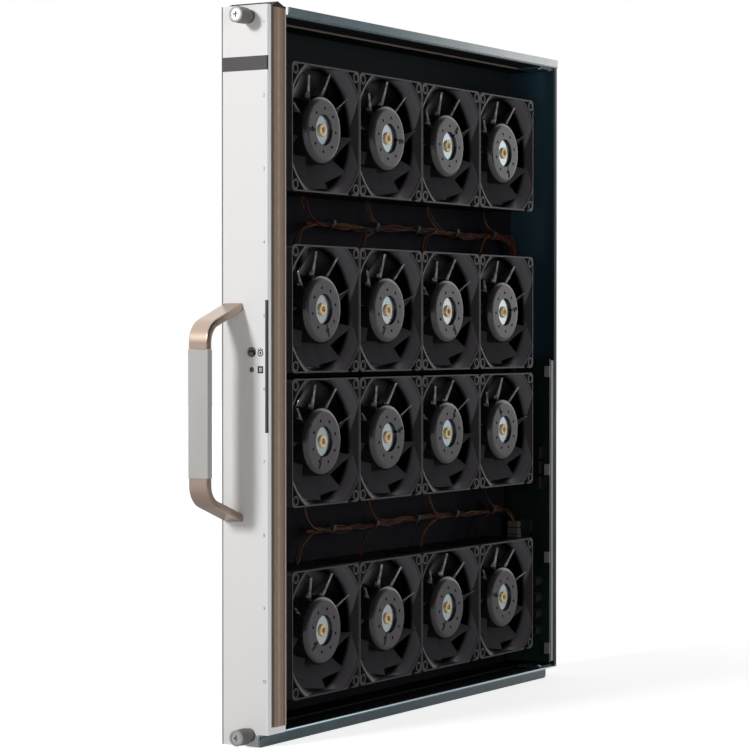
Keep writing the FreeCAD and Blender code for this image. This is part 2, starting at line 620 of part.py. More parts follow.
def handle():
    """Bow handle: two sloped arms and a straight grip on spigots between them."""
    front = f"{PLATE_FACE} - handle_reach"
    inner = f"{PLATE_FACE} - handle_reach + handle_band"
    slope = "handle_drop / handle_reach"
    rise = f"handle_band * sqrt(1 + ({slope}) ^ 2)"
    for node, sign, screw in zip(("handle_upper_arm", "handle_lower_arm"), (1, -1), handle_screw_heights()):
        body = new_body(node)

        def level(height):
            return f"handle_height + {sign} * ({height})"

        foot = "handle_span / 2"
        side = outline(body, f"{node}_side", "YZ_Plane", [
            (PLATE_FACE, level(foot)), (front, level(f"{foot} - handle_drop")),
            (front, level("grip_length / 2")), (inner, level("grip_length / 2")),
            (inner, level(f"{foot} - {rise} - ({slope}) * (handle_reach - handle_band)")),
            (PLATE_FACE, level(f"{foot} - {rise}"))], offset=f"{HANDLE_X} - handle_width / 2")
        pad(body, f"{node}_pad", side, "handle_width")
        corner = number(front), number(level(f"{foot} - handle_drop"))
        crook = number(inner), number(level(f"{foot} - {rise} - ({slope}) * (handle_reach - handle_band)"))
        fillet(body, f"{node}_bend", "handle_bend", lambda e: along(e, X_AXIS)
               and math.hypot(middle_of(e).y - corner[0], middle_of(e).z - corner[1]) < 0.01)
        fillet(body, f"{node}_crook", "handle_bend - handle_band", lambda e: along(e, X_AXIS)
               and math.hypot(middle_of(e).y - crook[0], middle_of(e).z - crook[1]) < 0.01)
        foot_y, grip_z = number(PLATE_FACE), number(level("grip_length / 2"))
        fillet(body, f"{node}_edges", "handle_edge", lambda e: not along(e, X_AXIS)
               and abs(middle_of(e).y - foot_y) > 0.01 and abs(middle_of(e).z - grip_z) > 0.01)
        bore = circles(body, f"{node}_bore", "XZ_Plane", [(HANDLE_X, screw, "screw_radius + 0.05")],
                       offset="front_reach")
        pocket(body, f"{node}_bore_cut", bore, "6", flip=True)
        socket = outline(body, f"{node}_spigot", "XY_Plane", rectangle(
            f"{HANDLE_X} - handle_width / 4", f"{front} + handle_band / 4",
            f"{HANDLE_X} + handle_width / 4", f"{front} + handle_band * 3 / 4"), offset=level("grip_length / 2"))
        spigot = pad(body, f"{node}_spigot_pad", socket, "grip_pin")
        spigot.Reversed = sign > 0
        part(node, body)
    body = new_body("handle_grip")
    section = outline(body, "grip_section", "XY_Plane", rectangle(
        f"{HANDLE_X} - handle_width / 2 - 0.15", f"{front} - 0.15",
        f"{HANDLE_X} + handle_width / 2 + 0.15", f"{inner} + 0.15"), offset="handle_height - grip_length / 2 + 0.1")
    pad(body, "grip_pad", section, "grip_length - 0.2")
    fillet(body, "grip_edges", "handle_edge * 0.6", lambda e: along(e, Z_AXIS))
    for end, flip in (("handle_height + grip_length / 2 - 0.1", False), ("handle_height - grip_length / 2 + 0.1", True)):
        socket = outline(body, f"socket_{flip}", "XY_Plane", rectangle(
            f"{HANDLE_X} - handle_width / 4 - 0.1", f"{front} + handle_band / 4 - 0.1",
            f"{HANDLE_X} + handle_width / 4 + 0.1", f"{front} + handle_band * 3 / 4 + 0.1"), offset=end)
        pocket(body, f"socket_cut_{flip}", socket, "grip_pin + 0.3", flip=flip)
    part("handle_grip", body)


def handle_screws():
    """Pan-head screws from behind the plate into the handle's feet."""
    screw = new_body("handle_screw")
    profile = outline(screw, "handle_screw_half", "XY_Plane", [
        ("-5", "0"), ("plate_wall", "0"), ("plate_wall + 2.2", "0"), ("plate_wall + 2.2", "screw_radius * 1.4"),
        ("plate_wall + 0.8", "screw_radius * 1.9"), ("plate_wall", "screw_radius * 1.9"),
        ("plate_wall", "screw_radius"), ("-5", "screw_radius")])
    turned(screw, "handle_screw_turned", profile)
    part("handle_screws", group("handle_screw_pair", [
        copy_of(screw, f"handle_screw_{i}", HANDLE_X, PLATE_FACE, height, TURN_TO_Y)
        for i, height in enumerate(handle_screw_heights())]))


def captive_screws():
    """Two spring-loaded captive screws: a guide pressed in the plate, a knurled knob, a screw pressed into
    the knob, a coil spring round it and a ring that keeps the screw from coming out."""
    knob_front = "-knob_rest - knob_length"
    well = "-knob_rest - ferrule_length - spring_wire * 2"
    head_front = f"{knob_front} + head_depth"
    head_seat = f"{knob_front} + head_depth + head_height"
    head = "knob_radius * 0.7"
    thread = "plate_wall + 1.8"
    knob = new_body("knob")
    half = outline(knob, "knob_half", "XY_Plane", [
        (knob_front, f"{head} + shaft_gap"), (knob_front, "knob_radius - 0.5"), (f"{knob_front} + 0.5", "knob_radius"),
        ("-knob_rest - 0.4", "knob_radius"), ("-knob_rest", "knob_radius - 0.4"),
        ("-knob_rest", "ferrule_radius + running_gap"), (well, "ferrule_radius + running_gap"),
        (well, "shank_radius + shaft_gap"), (head_seat, "shank_radius + shaft_gap"),
        (head_seat, f"{head} + shaft_gap")])
    turned(knob, "knob_turned", half)
    screw = new_body("captive_screw")
    half = outline(screw, "captive_half", "XY_Plane", [
        (head_front, "0"), (head_front, head), (head_seat, head), (head_seat, "shank_radius"),
        (thread, "shank_radius"), (thread, "thread_radius"), ("shank_reach - 0.5", "thread_radius"),
        ("shank_reach", "thread_radius - 0.5"), ("shank_reach", "0")])
    turned(screw, "captive_turned", half)
    arms = [rectangle("-0.45", "-knob_radius * 0.36", "0.45", "knob_radius * 0.36"),
            rectangle("-knob_radius * 0.36", "-0.45", "knob_radius * 0.36", "0.45")]
    for index, loop in enumerate(arms):
        cross = outline(screw, f"cross_{index}", "YZ_Plane", loop, offset=head_front)
        pocket(screw, f"cross_cut_{index}", cross, "1.6", flip=True)
    tooth = outline(knob, "tooth", "YZ_Plane", [
        ("0", "knob_radius - 0.35"), ("0.35", "knob_radius + 0.2"), ("-0.35", "knob_radius + 0.2")],
        offset=f"{knob_front} + 1.4")
    groove = pocket(knob, "tooth_cut", tooth, "knob_length - 2.4", flip=True)
    polar(knob, "knurl", groove, "knob_teeth")
    ferrule = new_body("ferrule")
    bore = "shank_radius + running_gap"
    guide = outline(ferrule, "ferrule_half", "XY_Plane", [
        ("-ferrule_length", "ferrule_radius"), ("-0.5", "ferrule_radius"), ("-0.5", "ferrule_radius + 0.8"),
        ("0", "ferrule_radius + 0.8"), ("0", "ferrule_radius - 0.4"), ("plate_wall + 0.4", "ferrule_radius - 0.4"),
        ("plate_wall + 0.4", bore), ("-0.6", bore), ("-0.6", "ferrule_radius - 0.4"),
        ("-ferrule_length", "ferrule_radius - 0.4")])
    turned(ferrule, "ferrule_turned", guide)
    ring = new_body("ring")
    washer = outline(ring, "ring_half", "XY_Plane", rectangle(
        "plate_wall + 0.6", "shank_radius + 0.05", "plate_wall + 1.4", "ferrule_radius"))
    turned(ring, "ring_turned", washer)
    coil = coil_spring(f"-({well}) - 0.6")
    ferrules = []
    for end, height in CAPTIVE_HEIGHTS.items():
        place = CAPTIVE_X, PLATE_FACE, height, TURN_TO_Y
        part(f"{end}_thumbscrew", copy_of(knob, f"{end}_knob", *place))
        part(f"{end}_screw_shank", copy_of(screw, f"{end}_captive_screw", *place))
        part(f"{end}_screw_retainer", copy_of(ring, f"{end}_ring", *place))
        part(f"{end}_screw_spring", copy_of(coil, f"{end}_coil", *place))
        ferrules.append(copy_of(ferrule, f"{end}_ferrule", *place))
    part("screw_ferrules", group("ferrule_pair", ferrules))


def coil_spring(length):
    """Compression spring along X, from the guide's floor to the bottom of the knob's well."""
    body = new_body("coil")
    wire = circles(body, "coil_wire", "XY_Plane", [("-0.6 - spring_wire / 2", "spring_radius", "spring_wire / 2")])
    helix = body.newObject("PartDesign::AdditiveHelix", "coil_turns")
    helix.Profile = wire
    helix.ReferenceAxis = (wire, ["H_Axis"])
    helix.Mode = "pitch-height-angle"
    helix.Reversed = True
    helix.setExpression("Height", bound(f"{length} - spring_wire"))
    helix.setExpression("Pitch", bound(f"({length} - spring_wire) / spring_turns"))
    return body


def indicators():
    """Beacon button, status light pipe and the small board behind the plate that works them."""
    button = new_body("button")
    half = outline(button, "button_half", "XY_Plane", [
        ("-0.9", "0"), ("-0.9", "button_radius - 0.6"), ("-0.3", "button_radius"),
        ("plate_wall + 0.2", "button_radius"), ("plate_wall + 0.2", "button_radius + 0.7"),
        ("plate_wall + 1", "button_radius + 0.7"), ("plate_wall + 1", "1.2"),
        ("indicator_setback - button_travel - 1.2", "1.2"), ("indicator_setback - button_travel - 1.2", "0")])
    turned(button, "button_turned", half)
    part("beacon_button", copy_of(button, "button_place", LIGHT_X, PLATE_FACE, "button_height", TURN_TO_Y))
    pipe = new_body("light_pipe")
    half = outline(pipe, "pipe_half", "XY_Plane", [
        ("-0.3", "0"), ("-0.3", "status_radius - 0.3"), ("0", "status_radius"), ("plate_wall", "status_radius"),
        ("plate_wall", "status_radius + 0.6"), ("plate_wall + 1", "status_radius + 0.6"),
        ("plate_wall + 1", "status_radius"), ("indicator_setback - 0.9", "status_radius"),
        ("indicator_setback - 0.9", "0")])
    turned(pipe, "pipe_turned", half)
    part("status_light_pipe", copy_of(pipe, "pipe_place", LIGHT_X, PLATE_FACE, "status_height", TURN_TO_Y))
    near = f"{PLATE_FACE} + indicator_setback"
    card = box("indicator_card", f"{LIGHT_X} - 10", near, "status_height - 8", f"{LIGHT_X} + 8",
               f"{near} + board_wall", "button_height + 8")
    switch = box("switch", f"{LIGHT_X} - 3", f"{near} - 1", "button_height - 3", f"{LIGHT_X} + 3", near,
                 "button_height + 3")
    lamp = box("lamp", f"{LIGHT_X} - 1.6", f"{near} - 0.8", "status_height - 0.8", f"{LIGHT_X} + 1.6", near,
               "status_height + 0.8")
    posts = [rod(f"post_{i}", Y_AXIS, f"{LIGHT_X} - 7.5", f"{PLATE_FACE} + plate_wall", height, "1.8",
                 "indicator_setback - plate_wall")
             for i, height in enumerate(("status_height - 5", "button_height + 5"))]
    part("indicator_board", group("indicator_set", [card, switch, lamp] + posts))


def fan_frame():
    """Square moulded frame, face at x = 0: inlet bell, corner bosses, duct, vanes, motor base, bearing tube."""
    body = new_body("fan_frame")
    half = "fan_size / 2"
    square = outline(body, "frame_square", "YZ_Plane", rectangle(f"-{half}", f"-{half}", half, half),
                     offset="-fan_depth")
    pad(body, "frame_block", square, "fan_depth")
    fillet(body, "frame_corners", "frame_corner", lambda e: along(e, X_AXIS))
    floor_x = "-fan_depth + back_plate"
    air = outline(body, "air_way", "XY_Plane", [
        ("1", "0"), ("1", "bell_radius"), ("0", "bell_radius", "bell_curve", -1), ("-bell_depth", "duct_radius"),
        (floor_x, "duct_radius"), (floor_x, "tube_radius"), ("-tube_front", "tube_radius"),
        ("-tube_front", "bearing_radius"), (floor_x, "bearing_radius"), (floor_x, "0")])
    turned(body, "air_way_cut", air, "Groove")
    arc = "frame_corner", 1
    wall = f"{half} - frame_wall"
    lip = outline(body, "frame_lips", "YZ_Plane", [
        (f"frame_corner - {half}", f"-{half}"), (f"{half} - frame_corner", f"-{half}", *arc),
        (half, f"frame_corner - {half}"), (half, f"{half} - frame_corner", *arc),
        (f"{half} - frame_corner", half), (f"frame_corner - {half}", half, *arc),
        (f"-{half}", f"{half} - frame_corner"), (f"-{half}", f"frame_corner - {half}", *arc)],
        rectangle(f"-({wall})", f"-({wall})", wall, wall), offset="-bell_depth")
    pad(body, "frame_lips_pad", lip, "bell_depth")
    gap = "asin(vane_width / 2 / {})"
    inner, outer = "motor_base", "duct_radius - 0.3"

    def on_circle(radius, sign):
        turn = f"{sign} * (180 deg / vane_count - {gap.format(f'({radius})')})"
        return f"({radius}) * sin({turn})", f"({radius}) * cos({turn})"

    window = outline(body, "vane_window", "YZ_Plane", [
        (*on_circle(outer, -1), outer, -1), on_circle(outer, 1), (*on_circle(inner, 1), inner, 1),
        on_circle(inner, -1)], offset="-fan_depth")
    polar(body, "vanes", pocket(body, "vane_window_cut", window, "back_plate", flip=True), "vane_count")
    boss = "hole_spacing / 2"
    rim = "bell_radius + frame_wall"
    far = f"sqrt(({rim}) ^ 2 - ({wall}) ^ 2)"
    hollow = outline(body, "corner_pocket", "YZ_Plane", [
        (wall, far, rim, 1), (far, wall), (boss, wall), (boss, boss), (wall, boss)])
    corner = pocket(body, "corner_pocket_cut", hollow, "corner_depth")
    ring = circles(body, "boss", "YZ_Plane", [(boss, boss, "boss_radius")], offset="-corner_depth")
    post = pad(body, "boss_pad", ring, "corner_depth")
    holes = circles(body, "mounting_hole", "YZ_Plane", [(boss, boss, "hole_radius")])
    hole = pocket(body, "mounting_hole_cut", holes, "fan_depth")
    four = polar(body, "corners", corner, "4")
    four.Originals = [corner, post, hole]
    exit_middle = f"{boss} - boss_radius - wire_notch * 0.75"
    notch = outline(body, "lead_notch", "YZ_Plane", rectangle(
        f"{exit_middle} - wire_notch / 2", f"-{half} - 1", f"{exit_middle} + wire_notch / 2", f"-({wall}) + 0.1"))
    pocket(body, "lead_notch_cut", notch, "wire_notch * 1.5")
    return body


def impeller():
    """Moulded impeller, frame's face at x = 0: cup-shaped hub and swept, twisted blades."""
    body = new_body("impeller")
    face = "-hub_setback"
    hub = outline(body, "hub_half", "XY_Plane", [
        (face, "0"), (face, "hub_radius - hub_round", "hub_round", 1), (f"{face} - hub_round", "hub_radius"),
        ("-hub_rear", "hub_radius"), ("-hub_rear", "0")])
    turned(body, "hub", hub)

    def section(name, plane, lead_depth, lead_angle, trail_depth, trail_angle):
        lead = f"-{lead_depth}", f"{plane} * tan({lead_angle})"
        trail = f"-{trail_depth}", f"{plane} * tan({trail_angle})"
        return outline(body, name, "XY_Plane", [
            (*lead, "blade_camber", -1), trail, (f"{trail[0]} - blade_wall * 0.6", f"{trail[1]} - blade_wall * 0.8",
                                              "blade_camber - blade_wall", 1),
            (f"{lead[0]} - blade_wall", lead[1])], offset=plane)

    root = section("blade_root", "root_plane", "lead_root_depth", "lead_root_angle",
                   "trail_root_depth", "trail_root_angle")
    tip = section("blade_tip", "tip_plane", "lead_tip_depth", "lead_tip_angle",
                  "trail_tip_depth", "trail_tip_angle")
    blade = feature(body, "AdditiveLoft", "blade", root)
    blade.Sections = [tip]
    blade.Ruled = True
    polar(body, "blades", blade, "blade_count")
    tips = outline(body, "tip_ring", "XY_Plane", rectangle("-fan_depth", "tip_radius", "1", "tip_plane * 2"))
    turned(body, "tips_trimmed", tips, "Groove")
    inside = "hub_radius - hub_wall"
    floor_x = f"{face} - hub_face"
    cup = outline(body, "cup_half", "XY_Plane", [
        ("1", "0"), ("1", "eye_radius"), (floor_x, "eye_radius"), (floor_x, inside),
        ("-fan_depth", inside), ("-fan_depth", "0")])
    turned(body, "cup", cup, "Groove")
    spot = circles(body, "balance_spot", "YZ_Plane", [("0", "balance_circle", "balance_radius")], offset=face)
    polar(body, "balance_holes", pocket(body, "balance_hole", spot, "1.2"), "balance_count")
    mark = outline(body, "mark", "YZ_Plane", rectangle(
        "-2.8", "balance_circle - 1", "-0.4", "hub_radius - hub_round"), offset=face)
    pocket(body, "mark_cut", mark, "0.5")
    return body


def rotor_core():
    """Steel yoke inside the hub, and the shaft with its brass boss."""
    yoke = new_body("yoke")
    front = "-hub_setback - hub_face - shaft_gap"
    skirt = "hub_radius - hub_wall - shaft_gap"
    cup = outline(yoke, "yoke_half", "XY_Plane", [
        (front, "shaft_boss + shaft_gap"), (front, skirt), ("-hub_rear + 2", skirt),
        ("-hub_rear + 2", f"{skirt} - 1.2"), (f"{front} - 1.2", f"{skirt} - 1.2"),
        (f"{front} - 1.2", "shaft_boss + shaft_gap")])
    turned(yoke, "yoke_turned", cup)
    shaft = new_body("shaft")
    boss_front = f"{front} + boss_rise"
    pin = outline(shaft, "shaft_half", "XY_Plane", [
        (f"{boss_front} + 0.3", "0"), (f"{boss_front} + 0.3", "shaft_radius - 0.2"), (boss_front, "shaft_radius"),
        (boss_front, "shaft_boss - 0.4"), (f"{boss_front} - 0.4", "shaft_boss"), ("-tube_front + 1", "shaft_boss"),
        ("-tube_front + 1", "shaft_radius"), ("-fan_depth + back_plate + 0.5", "shaft_radius"),
        ("-fan_depth + back_plate + 0.5", "0")])
    turned(shaft, "shaft_turned", pin)
    return [yoke, shaft]


def motor_parts():
    """Wound stator round the bearing tube, and the two ball bearings in it."""
    stator = new_body("stator")
    ring = outline(stator, "stator_half", "XY_Plane", rectangle(
        "-fan_depth + back_plate", "tube_radius", "-tube_front - 1", "hub_radius - hub_wall - 3"))
    turned(stator, "stator_turned", ring)
    slot = outline(stator, "slot", "YZ_Plane", rectangle(
        "-0.9", "hub_radius - hub_wall - 6", "0.9", "hub_radius"), offset="-fan_depth")
    polar(stator, "slots", pocket(stator, "slot_cut", slot, "fan_depth", flip=True), "6")
    bearings = []
    for name, place in (("front_bearing", "-tube_front - bearing_width - 0.5"),
                        ("rear_bearing", "-fan_depth + back_plate")):
        bearing = new_body(name)
        race = outline(bearing, f"{name}_half", "XY_Plane", rectangle(
            place, "shaft_radius + shaft_gap", f"{place} + bearing_width", "bearing_radius - 0.02"))
        turned(bearing, f"{name}_turned", race)
        bearings.append(bearing)
    return stator, bearings


def fan_screw():
    """Self-tapping pan-head screw through the outlet panel, the panel's outer face at x = 0."""
    body = new_body("fan_screw")
    half = outline(body, "fan_screw_half", "XY_Plane", [
        ("-1.8", "0"), ("-1.8", "hole_radius"), ("-0.8", "hole_radius * 1.6"), ("0", "hole_radius * 1.6"),
        ("0", "hole_radius - 0.05"), ("9", "hole_radius - 0.05"), ("10.5", "0.4"), ("10.5", "0")])
    turned(body, "fan_screw_turned", half)
    return body


def fans():
    frame, rotor = fan_frame(), group("rotor", [impeller()] + rotor_core())
    stator, bearings = motor_parts()
    bearing_pair = group("bearing_pair", bearings)
    screw = fan_screw()
    stators, races, screws = [], [], []
    for row, column, y, z in fan_places():
        tag = f"r{row}c{column}"
        part(f"fan_frame_{tag}", copy_of(frame, f"frame_{tag}", FAN_FACE, y, z))
        turn = FreeCAD.Rotation(X_AXIS, -REST_ANGLES[row - 1][column - 1])
        part(f"impeller_{tag}", copy_of(rotor, f"rotor_{tag}", FAN_FACE, y, z, turn))
        stators.append(copy_of(stator, f"stator_{tag}", FAN_FACE, y, z))
        races.append(copy_of(bearing_pair, f"bearings_{tag}", FAN_FACE, y, z))
        for index, (side, end) in enumerate(((-1, -1), (-1, 1), (1, -1), (1, 1))):
            screws.append(copy_of(screw, f"screw_{tag}_{index}", OUTLET, f"{y} + {side} * hole_spacing / 2",
                                  f"{z} + {end} * hole_spacing / 2"))
    part("fan_stators", group("stator_set", stators))
    part("fan_bearings", group("bearing_set", races))
    part("fan_screws", group("screw_set", screws))


def control_board():
    """Board across the rear end, its clips on the rear wall, its parts and the connector behind it."""
    rear = "rear_reach - tray_wall - board_gap"
    front = f"{rear} - board_wall"
    edge = f"{INTAKE} - board_margin"
    part("control_board", box("control_card", f"{OUTLET} + tray_wall + 2", front, "board_foot", edge, rear,
                              "board_head"))
    clips = []
    for index, height in enumerate(CLIP_HEIGHTS):
        stem = box(f"clip_stem_{index}", f"{edge} - 5", rear, f"{height} - 3", f"{edge} - 1", f"{rear} + board_gap",
                   f"{height} + 3")
        hook = box(f"clip_hook_{index}", f"{edge} - 3.5", f"{front} - 1.6", f"{height} - 4", f"{edge} + 0.5",
                   front, f"{height} + 4")
        clips += [stem, hook]
    part("board_clips", group("clip_set", clips))
    pieces = []
    for index in range(3):
        height = f"board_foot + 128 + {index} * 11"
        pieces.append(box(f"inductor_{index}", f"{edge} - 14", f"{front} - 7", height, f"{edge} - 5", front,
                          f"{height} + 9"))
    for index in range(4):
        height = f"board_foot + 24 + {index} * 12"
        pieces.append(rod(f"capacitor_{index}", FreeCAD.Vector(0, -1, 0), f"{edge} - 10", front, height, "4", "9"))
    for index in range(8):
        group_foot = "board_foot + 84" if index < 4 else "board_head - 31"
        height = f"{group_foot} + {index % 4} * 5"
        pieces.append(box(f"header_{index}", f"{OUTLET} + tray_wall + 6", f"{front} - 6", height,
                          f"{OUTLET} + tray_wall + 14", front, f"{height} + 4.4"))
    for index in range(3):
        height = f"board_foot + 96 + {index} * 34"
        pieces.append(box(f"chip_{index}", f"{OUTLET} + tray_wall + 14.8", f"{front} - 1.4", height,
                          f"{edge} - 14.7", front, f"{height} + 9"))
    part("board_components", group("component_set", pieces))
    body = new_body("rear_connector")
    low = "connector_height - connector_length / 2"
    high = "connector_height + connector_length / 2"
    shell = outline(body, "shell", "XZ_Plane", rectangle(
        "-connector_width / 2", low, "connector_width / 2", high), offset="-rear_reach - connector_reach")
    pad(body, "shell_pad", shell, "connector_reach + tray_wall + board_gap")
    slot = outline(body, "contact_slot", "XZ_Plane", rectangle(
        "-connector_width / 4", f"{low} + 3", "connector_width / 4", f"{low} + 5.4"),
        offset="-rear_reach - connector_reach")
    first = pocket(body, "contact_slot_cut", slot, "connector_reach", flip=True)
    row = body.newObject("PartDesign::LinearPattern", "contact_slots")
    row.Originals = [first]
    row.Direction = (origin(body, "Z_Axis"), [""])
    row.setExpression("Length", bound("connector_length - 8.4"))
    row.Occurrences = 11
    body.Tip = row
    part("rear_connector", body)


def elbow(name, x, y, z, bend, radius):
    """Quarter bend from a run along +Y into one straight down, centred below the run's end."""
    made = doc.addObject("Part::Torus", name)
    made.setExpression("Radius1", bound(bend))
    made.setExpression("Radius2", bound(radius))
    made.Angle3 = 90
    made.Placement.Rotation = FreeCAD.Rotation(FreeCAD.Vector(1, 1, 1), 120)
    for axis, formula in (("x", x), ("y", y), ("z", f"{z} - {bend}")):
        made.setExpression(f"Placement.Base.{axis}", bound(formula))
    return made


def wiring():
    """Two wire bundles in the gaps between the rows, bent down to the board, with a lead from each fan."""
    x = f"{OUTLET} + tray_wall + 10"
    board_face = "rear_reach - tray_wall - board_gap - board_wall"
    stop = f"{board_face} - bundle_radius - 0.6 - bundle_bend"
    begin = "-1.5 * fan_pitch + 20"
    members = []
    for name, height, above, below, header in (
            ("upper", "upper_bundle", "row_1", "row_2", "board_head - 11.6"),
            ("lower", "lower_bundle", "row_3", "row_4", "board_foot + 103.4")):
        run = rod(f"{name}_run", Y_AXIS, x, begin, height, "bundle_radius", f"{stop} - ({begin})")
        bend = elbow(f"{name}_bend", x, stop, height, "bundle_bend", "bundle_radius")
        down = rod(f"{name}_down", Z_AXIS, x, f"{stop} + bundle_bend", header, "bundle_radius",
                   f"{height} - bundle_bend - ({header})")
        bundle = doc.addObject("Part::MultiFuse", f"{name}_bundle")
        bundle.Shapes = [run, bend, down]
        members.append(bundle)
        for column, place in enumerate(COLUMNS):
            y = f"{place} * fan_pitch + 34"
            members.append(rod(f"{name}_drop_{column}", Z_AXIS, x, y, f"{height} + bundle_radius", "lead_radius",
                               f"{above} - fan_size / 2 - {height} - bundle_radius"))
            members.append(rod(f"{name}_rise_{column}", Z_AXIS, x, f"{y} - 6", f"{below} + fan_size / 2",
                               "lead_radius", f"{height} - bundle_radius - {below} - fan_size / 2"))
    part("wire_harness", group("harness_set", members))


front_plate()
gaskets()
floor()
roof()
outlet_side()
rear_side()
rivets()
handle()
handle_screws()
captive_screws()
indicators()
fans()
control_board()
wiring()
doc.recompute()

for item in doc.Objects:
    if "Invalid" in item.State or "Error" in item.State:
        raise RuntimeError(f"{item.Label} failed: {item.State}")
shapes = {node: Part.getShape(item) for node, item in parts.items()}
for node, shape in shapes.items():
    if shape.isNull() or not shape.isValid() or not shape.Solids:
        raise RuntimeError(f"{node} has no valid solid")
os.makedirs("parts", exist_ok=True)
for node, shape in shapes.items():
    shape.exportStep(f"parts/{node}.step")
print(f"{len(shapes)} sub-parts, {sum(len(s.Solids) for s in shapes.values())} solids")
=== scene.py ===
import json
import math

import bmesh
import bpy
from mathutils import Color, Matrix, Vector


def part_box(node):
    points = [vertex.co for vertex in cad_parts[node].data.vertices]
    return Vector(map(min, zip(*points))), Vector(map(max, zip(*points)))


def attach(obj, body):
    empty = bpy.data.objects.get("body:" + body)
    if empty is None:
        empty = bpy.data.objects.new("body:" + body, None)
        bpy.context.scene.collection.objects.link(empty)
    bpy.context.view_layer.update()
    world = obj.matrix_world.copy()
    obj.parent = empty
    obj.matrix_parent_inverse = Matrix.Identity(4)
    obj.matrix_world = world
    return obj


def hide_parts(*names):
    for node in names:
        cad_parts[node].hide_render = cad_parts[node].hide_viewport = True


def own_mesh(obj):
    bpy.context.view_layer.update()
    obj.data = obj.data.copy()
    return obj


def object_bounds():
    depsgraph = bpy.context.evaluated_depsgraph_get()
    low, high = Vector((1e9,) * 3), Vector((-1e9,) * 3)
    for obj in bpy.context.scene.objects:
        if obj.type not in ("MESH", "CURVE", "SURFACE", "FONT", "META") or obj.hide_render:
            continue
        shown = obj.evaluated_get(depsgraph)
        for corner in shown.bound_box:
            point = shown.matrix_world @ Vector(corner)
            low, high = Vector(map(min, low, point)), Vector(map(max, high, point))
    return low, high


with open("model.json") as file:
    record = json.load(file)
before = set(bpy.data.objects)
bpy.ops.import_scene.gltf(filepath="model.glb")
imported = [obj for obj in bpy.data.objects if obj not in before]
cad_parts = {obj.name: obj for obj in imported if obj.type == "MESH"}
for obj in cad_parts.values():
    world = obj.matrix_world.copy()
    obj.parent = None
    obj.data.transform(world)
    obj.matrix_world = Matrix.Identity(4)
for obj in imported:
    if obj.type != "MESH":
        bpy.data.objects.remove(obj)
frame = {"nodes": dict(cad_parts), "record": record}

bl_info = {
    "name": "Fan tray looks",
    "version": (1, 0, 0),
    "blender": (4, 5, 0),
    "location": "View3D > Sidebar > Fan tray",
    "description": "Finishes, printing, wiring and studio for a sixteen-fan hot-swap tray",
    "category": "Object",
}

NODES = frame["nodes"]
CAD_BOX = [list(corner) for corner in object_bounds()]
MM = 0.001
MERGE = 0.00002
SMOOTH_ANGLE = 34
PRINT_RISE = 0.00003
PRINT_DEPTH = 0.00002
NUMBER_INSET = 0.0024
ICON_INSET = 0.0051
SCREW_REACH, HOLE_PLAY = 0.003, 0.0003
TRAY = "tray"
FAN_TAGS = [f"r{row}c{column}" for row in range(1, 5) for column in range(1, 5)]
PLATE_LOW, PLATE_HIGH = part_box("faceplate")
FLOOR_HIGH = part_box("floor_plate")[1]
ROOF_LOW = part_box("top_plate")[0]
REAR_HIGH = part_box("rear_wall")[1]
BOARD_LOW, BOARD_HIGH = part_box("control_board")
HARNESS_LOW, HARNESS_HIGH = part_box("wire_harness")


def add_node(tree, kind, inputs=None, **settings):
    """A node of a tree: its settings are made first, then its sockets' values or links."""
    made = tree.nodes.new(kind)
    for setting, value in settings.items():
        setattr(made, setting, value)
    for name, value in (inputs or {}).items():
        plug(tree, made.inputs[name], value)
    return made


def output_of(tree, kind, inputs=None, output=0, **settings):
    """One output of a new node."""
    return add_node(tree, kind, inputs, **settings).outputs[output]


def plug(tree, socket, value):
    """Give a socket a link or a value."""
    if isinstance(value, bpy.types.NodeSocket):
        tree.links.new(value, socket)
    elif socket.type == "RGBA":
        socket.default_value = (*tuple(value)[:3], 1)
    else:
        socket.default_value = value


def fan_centre(tag):
    """Middle of a fan's intake face."""
    low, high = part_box(f"fan_frame_{tag}")
    return Vector((high.x, (low.y + high.y) / 2, (low.z + high.z) / 2))


class Value:
    """A shader socket that can stand in Python expressions."""

    def __init__(self, finish, socket):
        self.finish = finish
        self.socket = socket

    def __add__(self, other):
        return self.finish.math("ADD", self, other)

    __radd__ = __add__

    def __mul__(self, other):
        return self.finish.math("MULTIPLY", self, other)

    __rmul__ = __mul__

    def __sub__(self, other):
        return self.finish.math("SUBTRACT", self, other)

    def __rsub__(self, other):
        return self.finish.math("SUBTRACT", other, self)


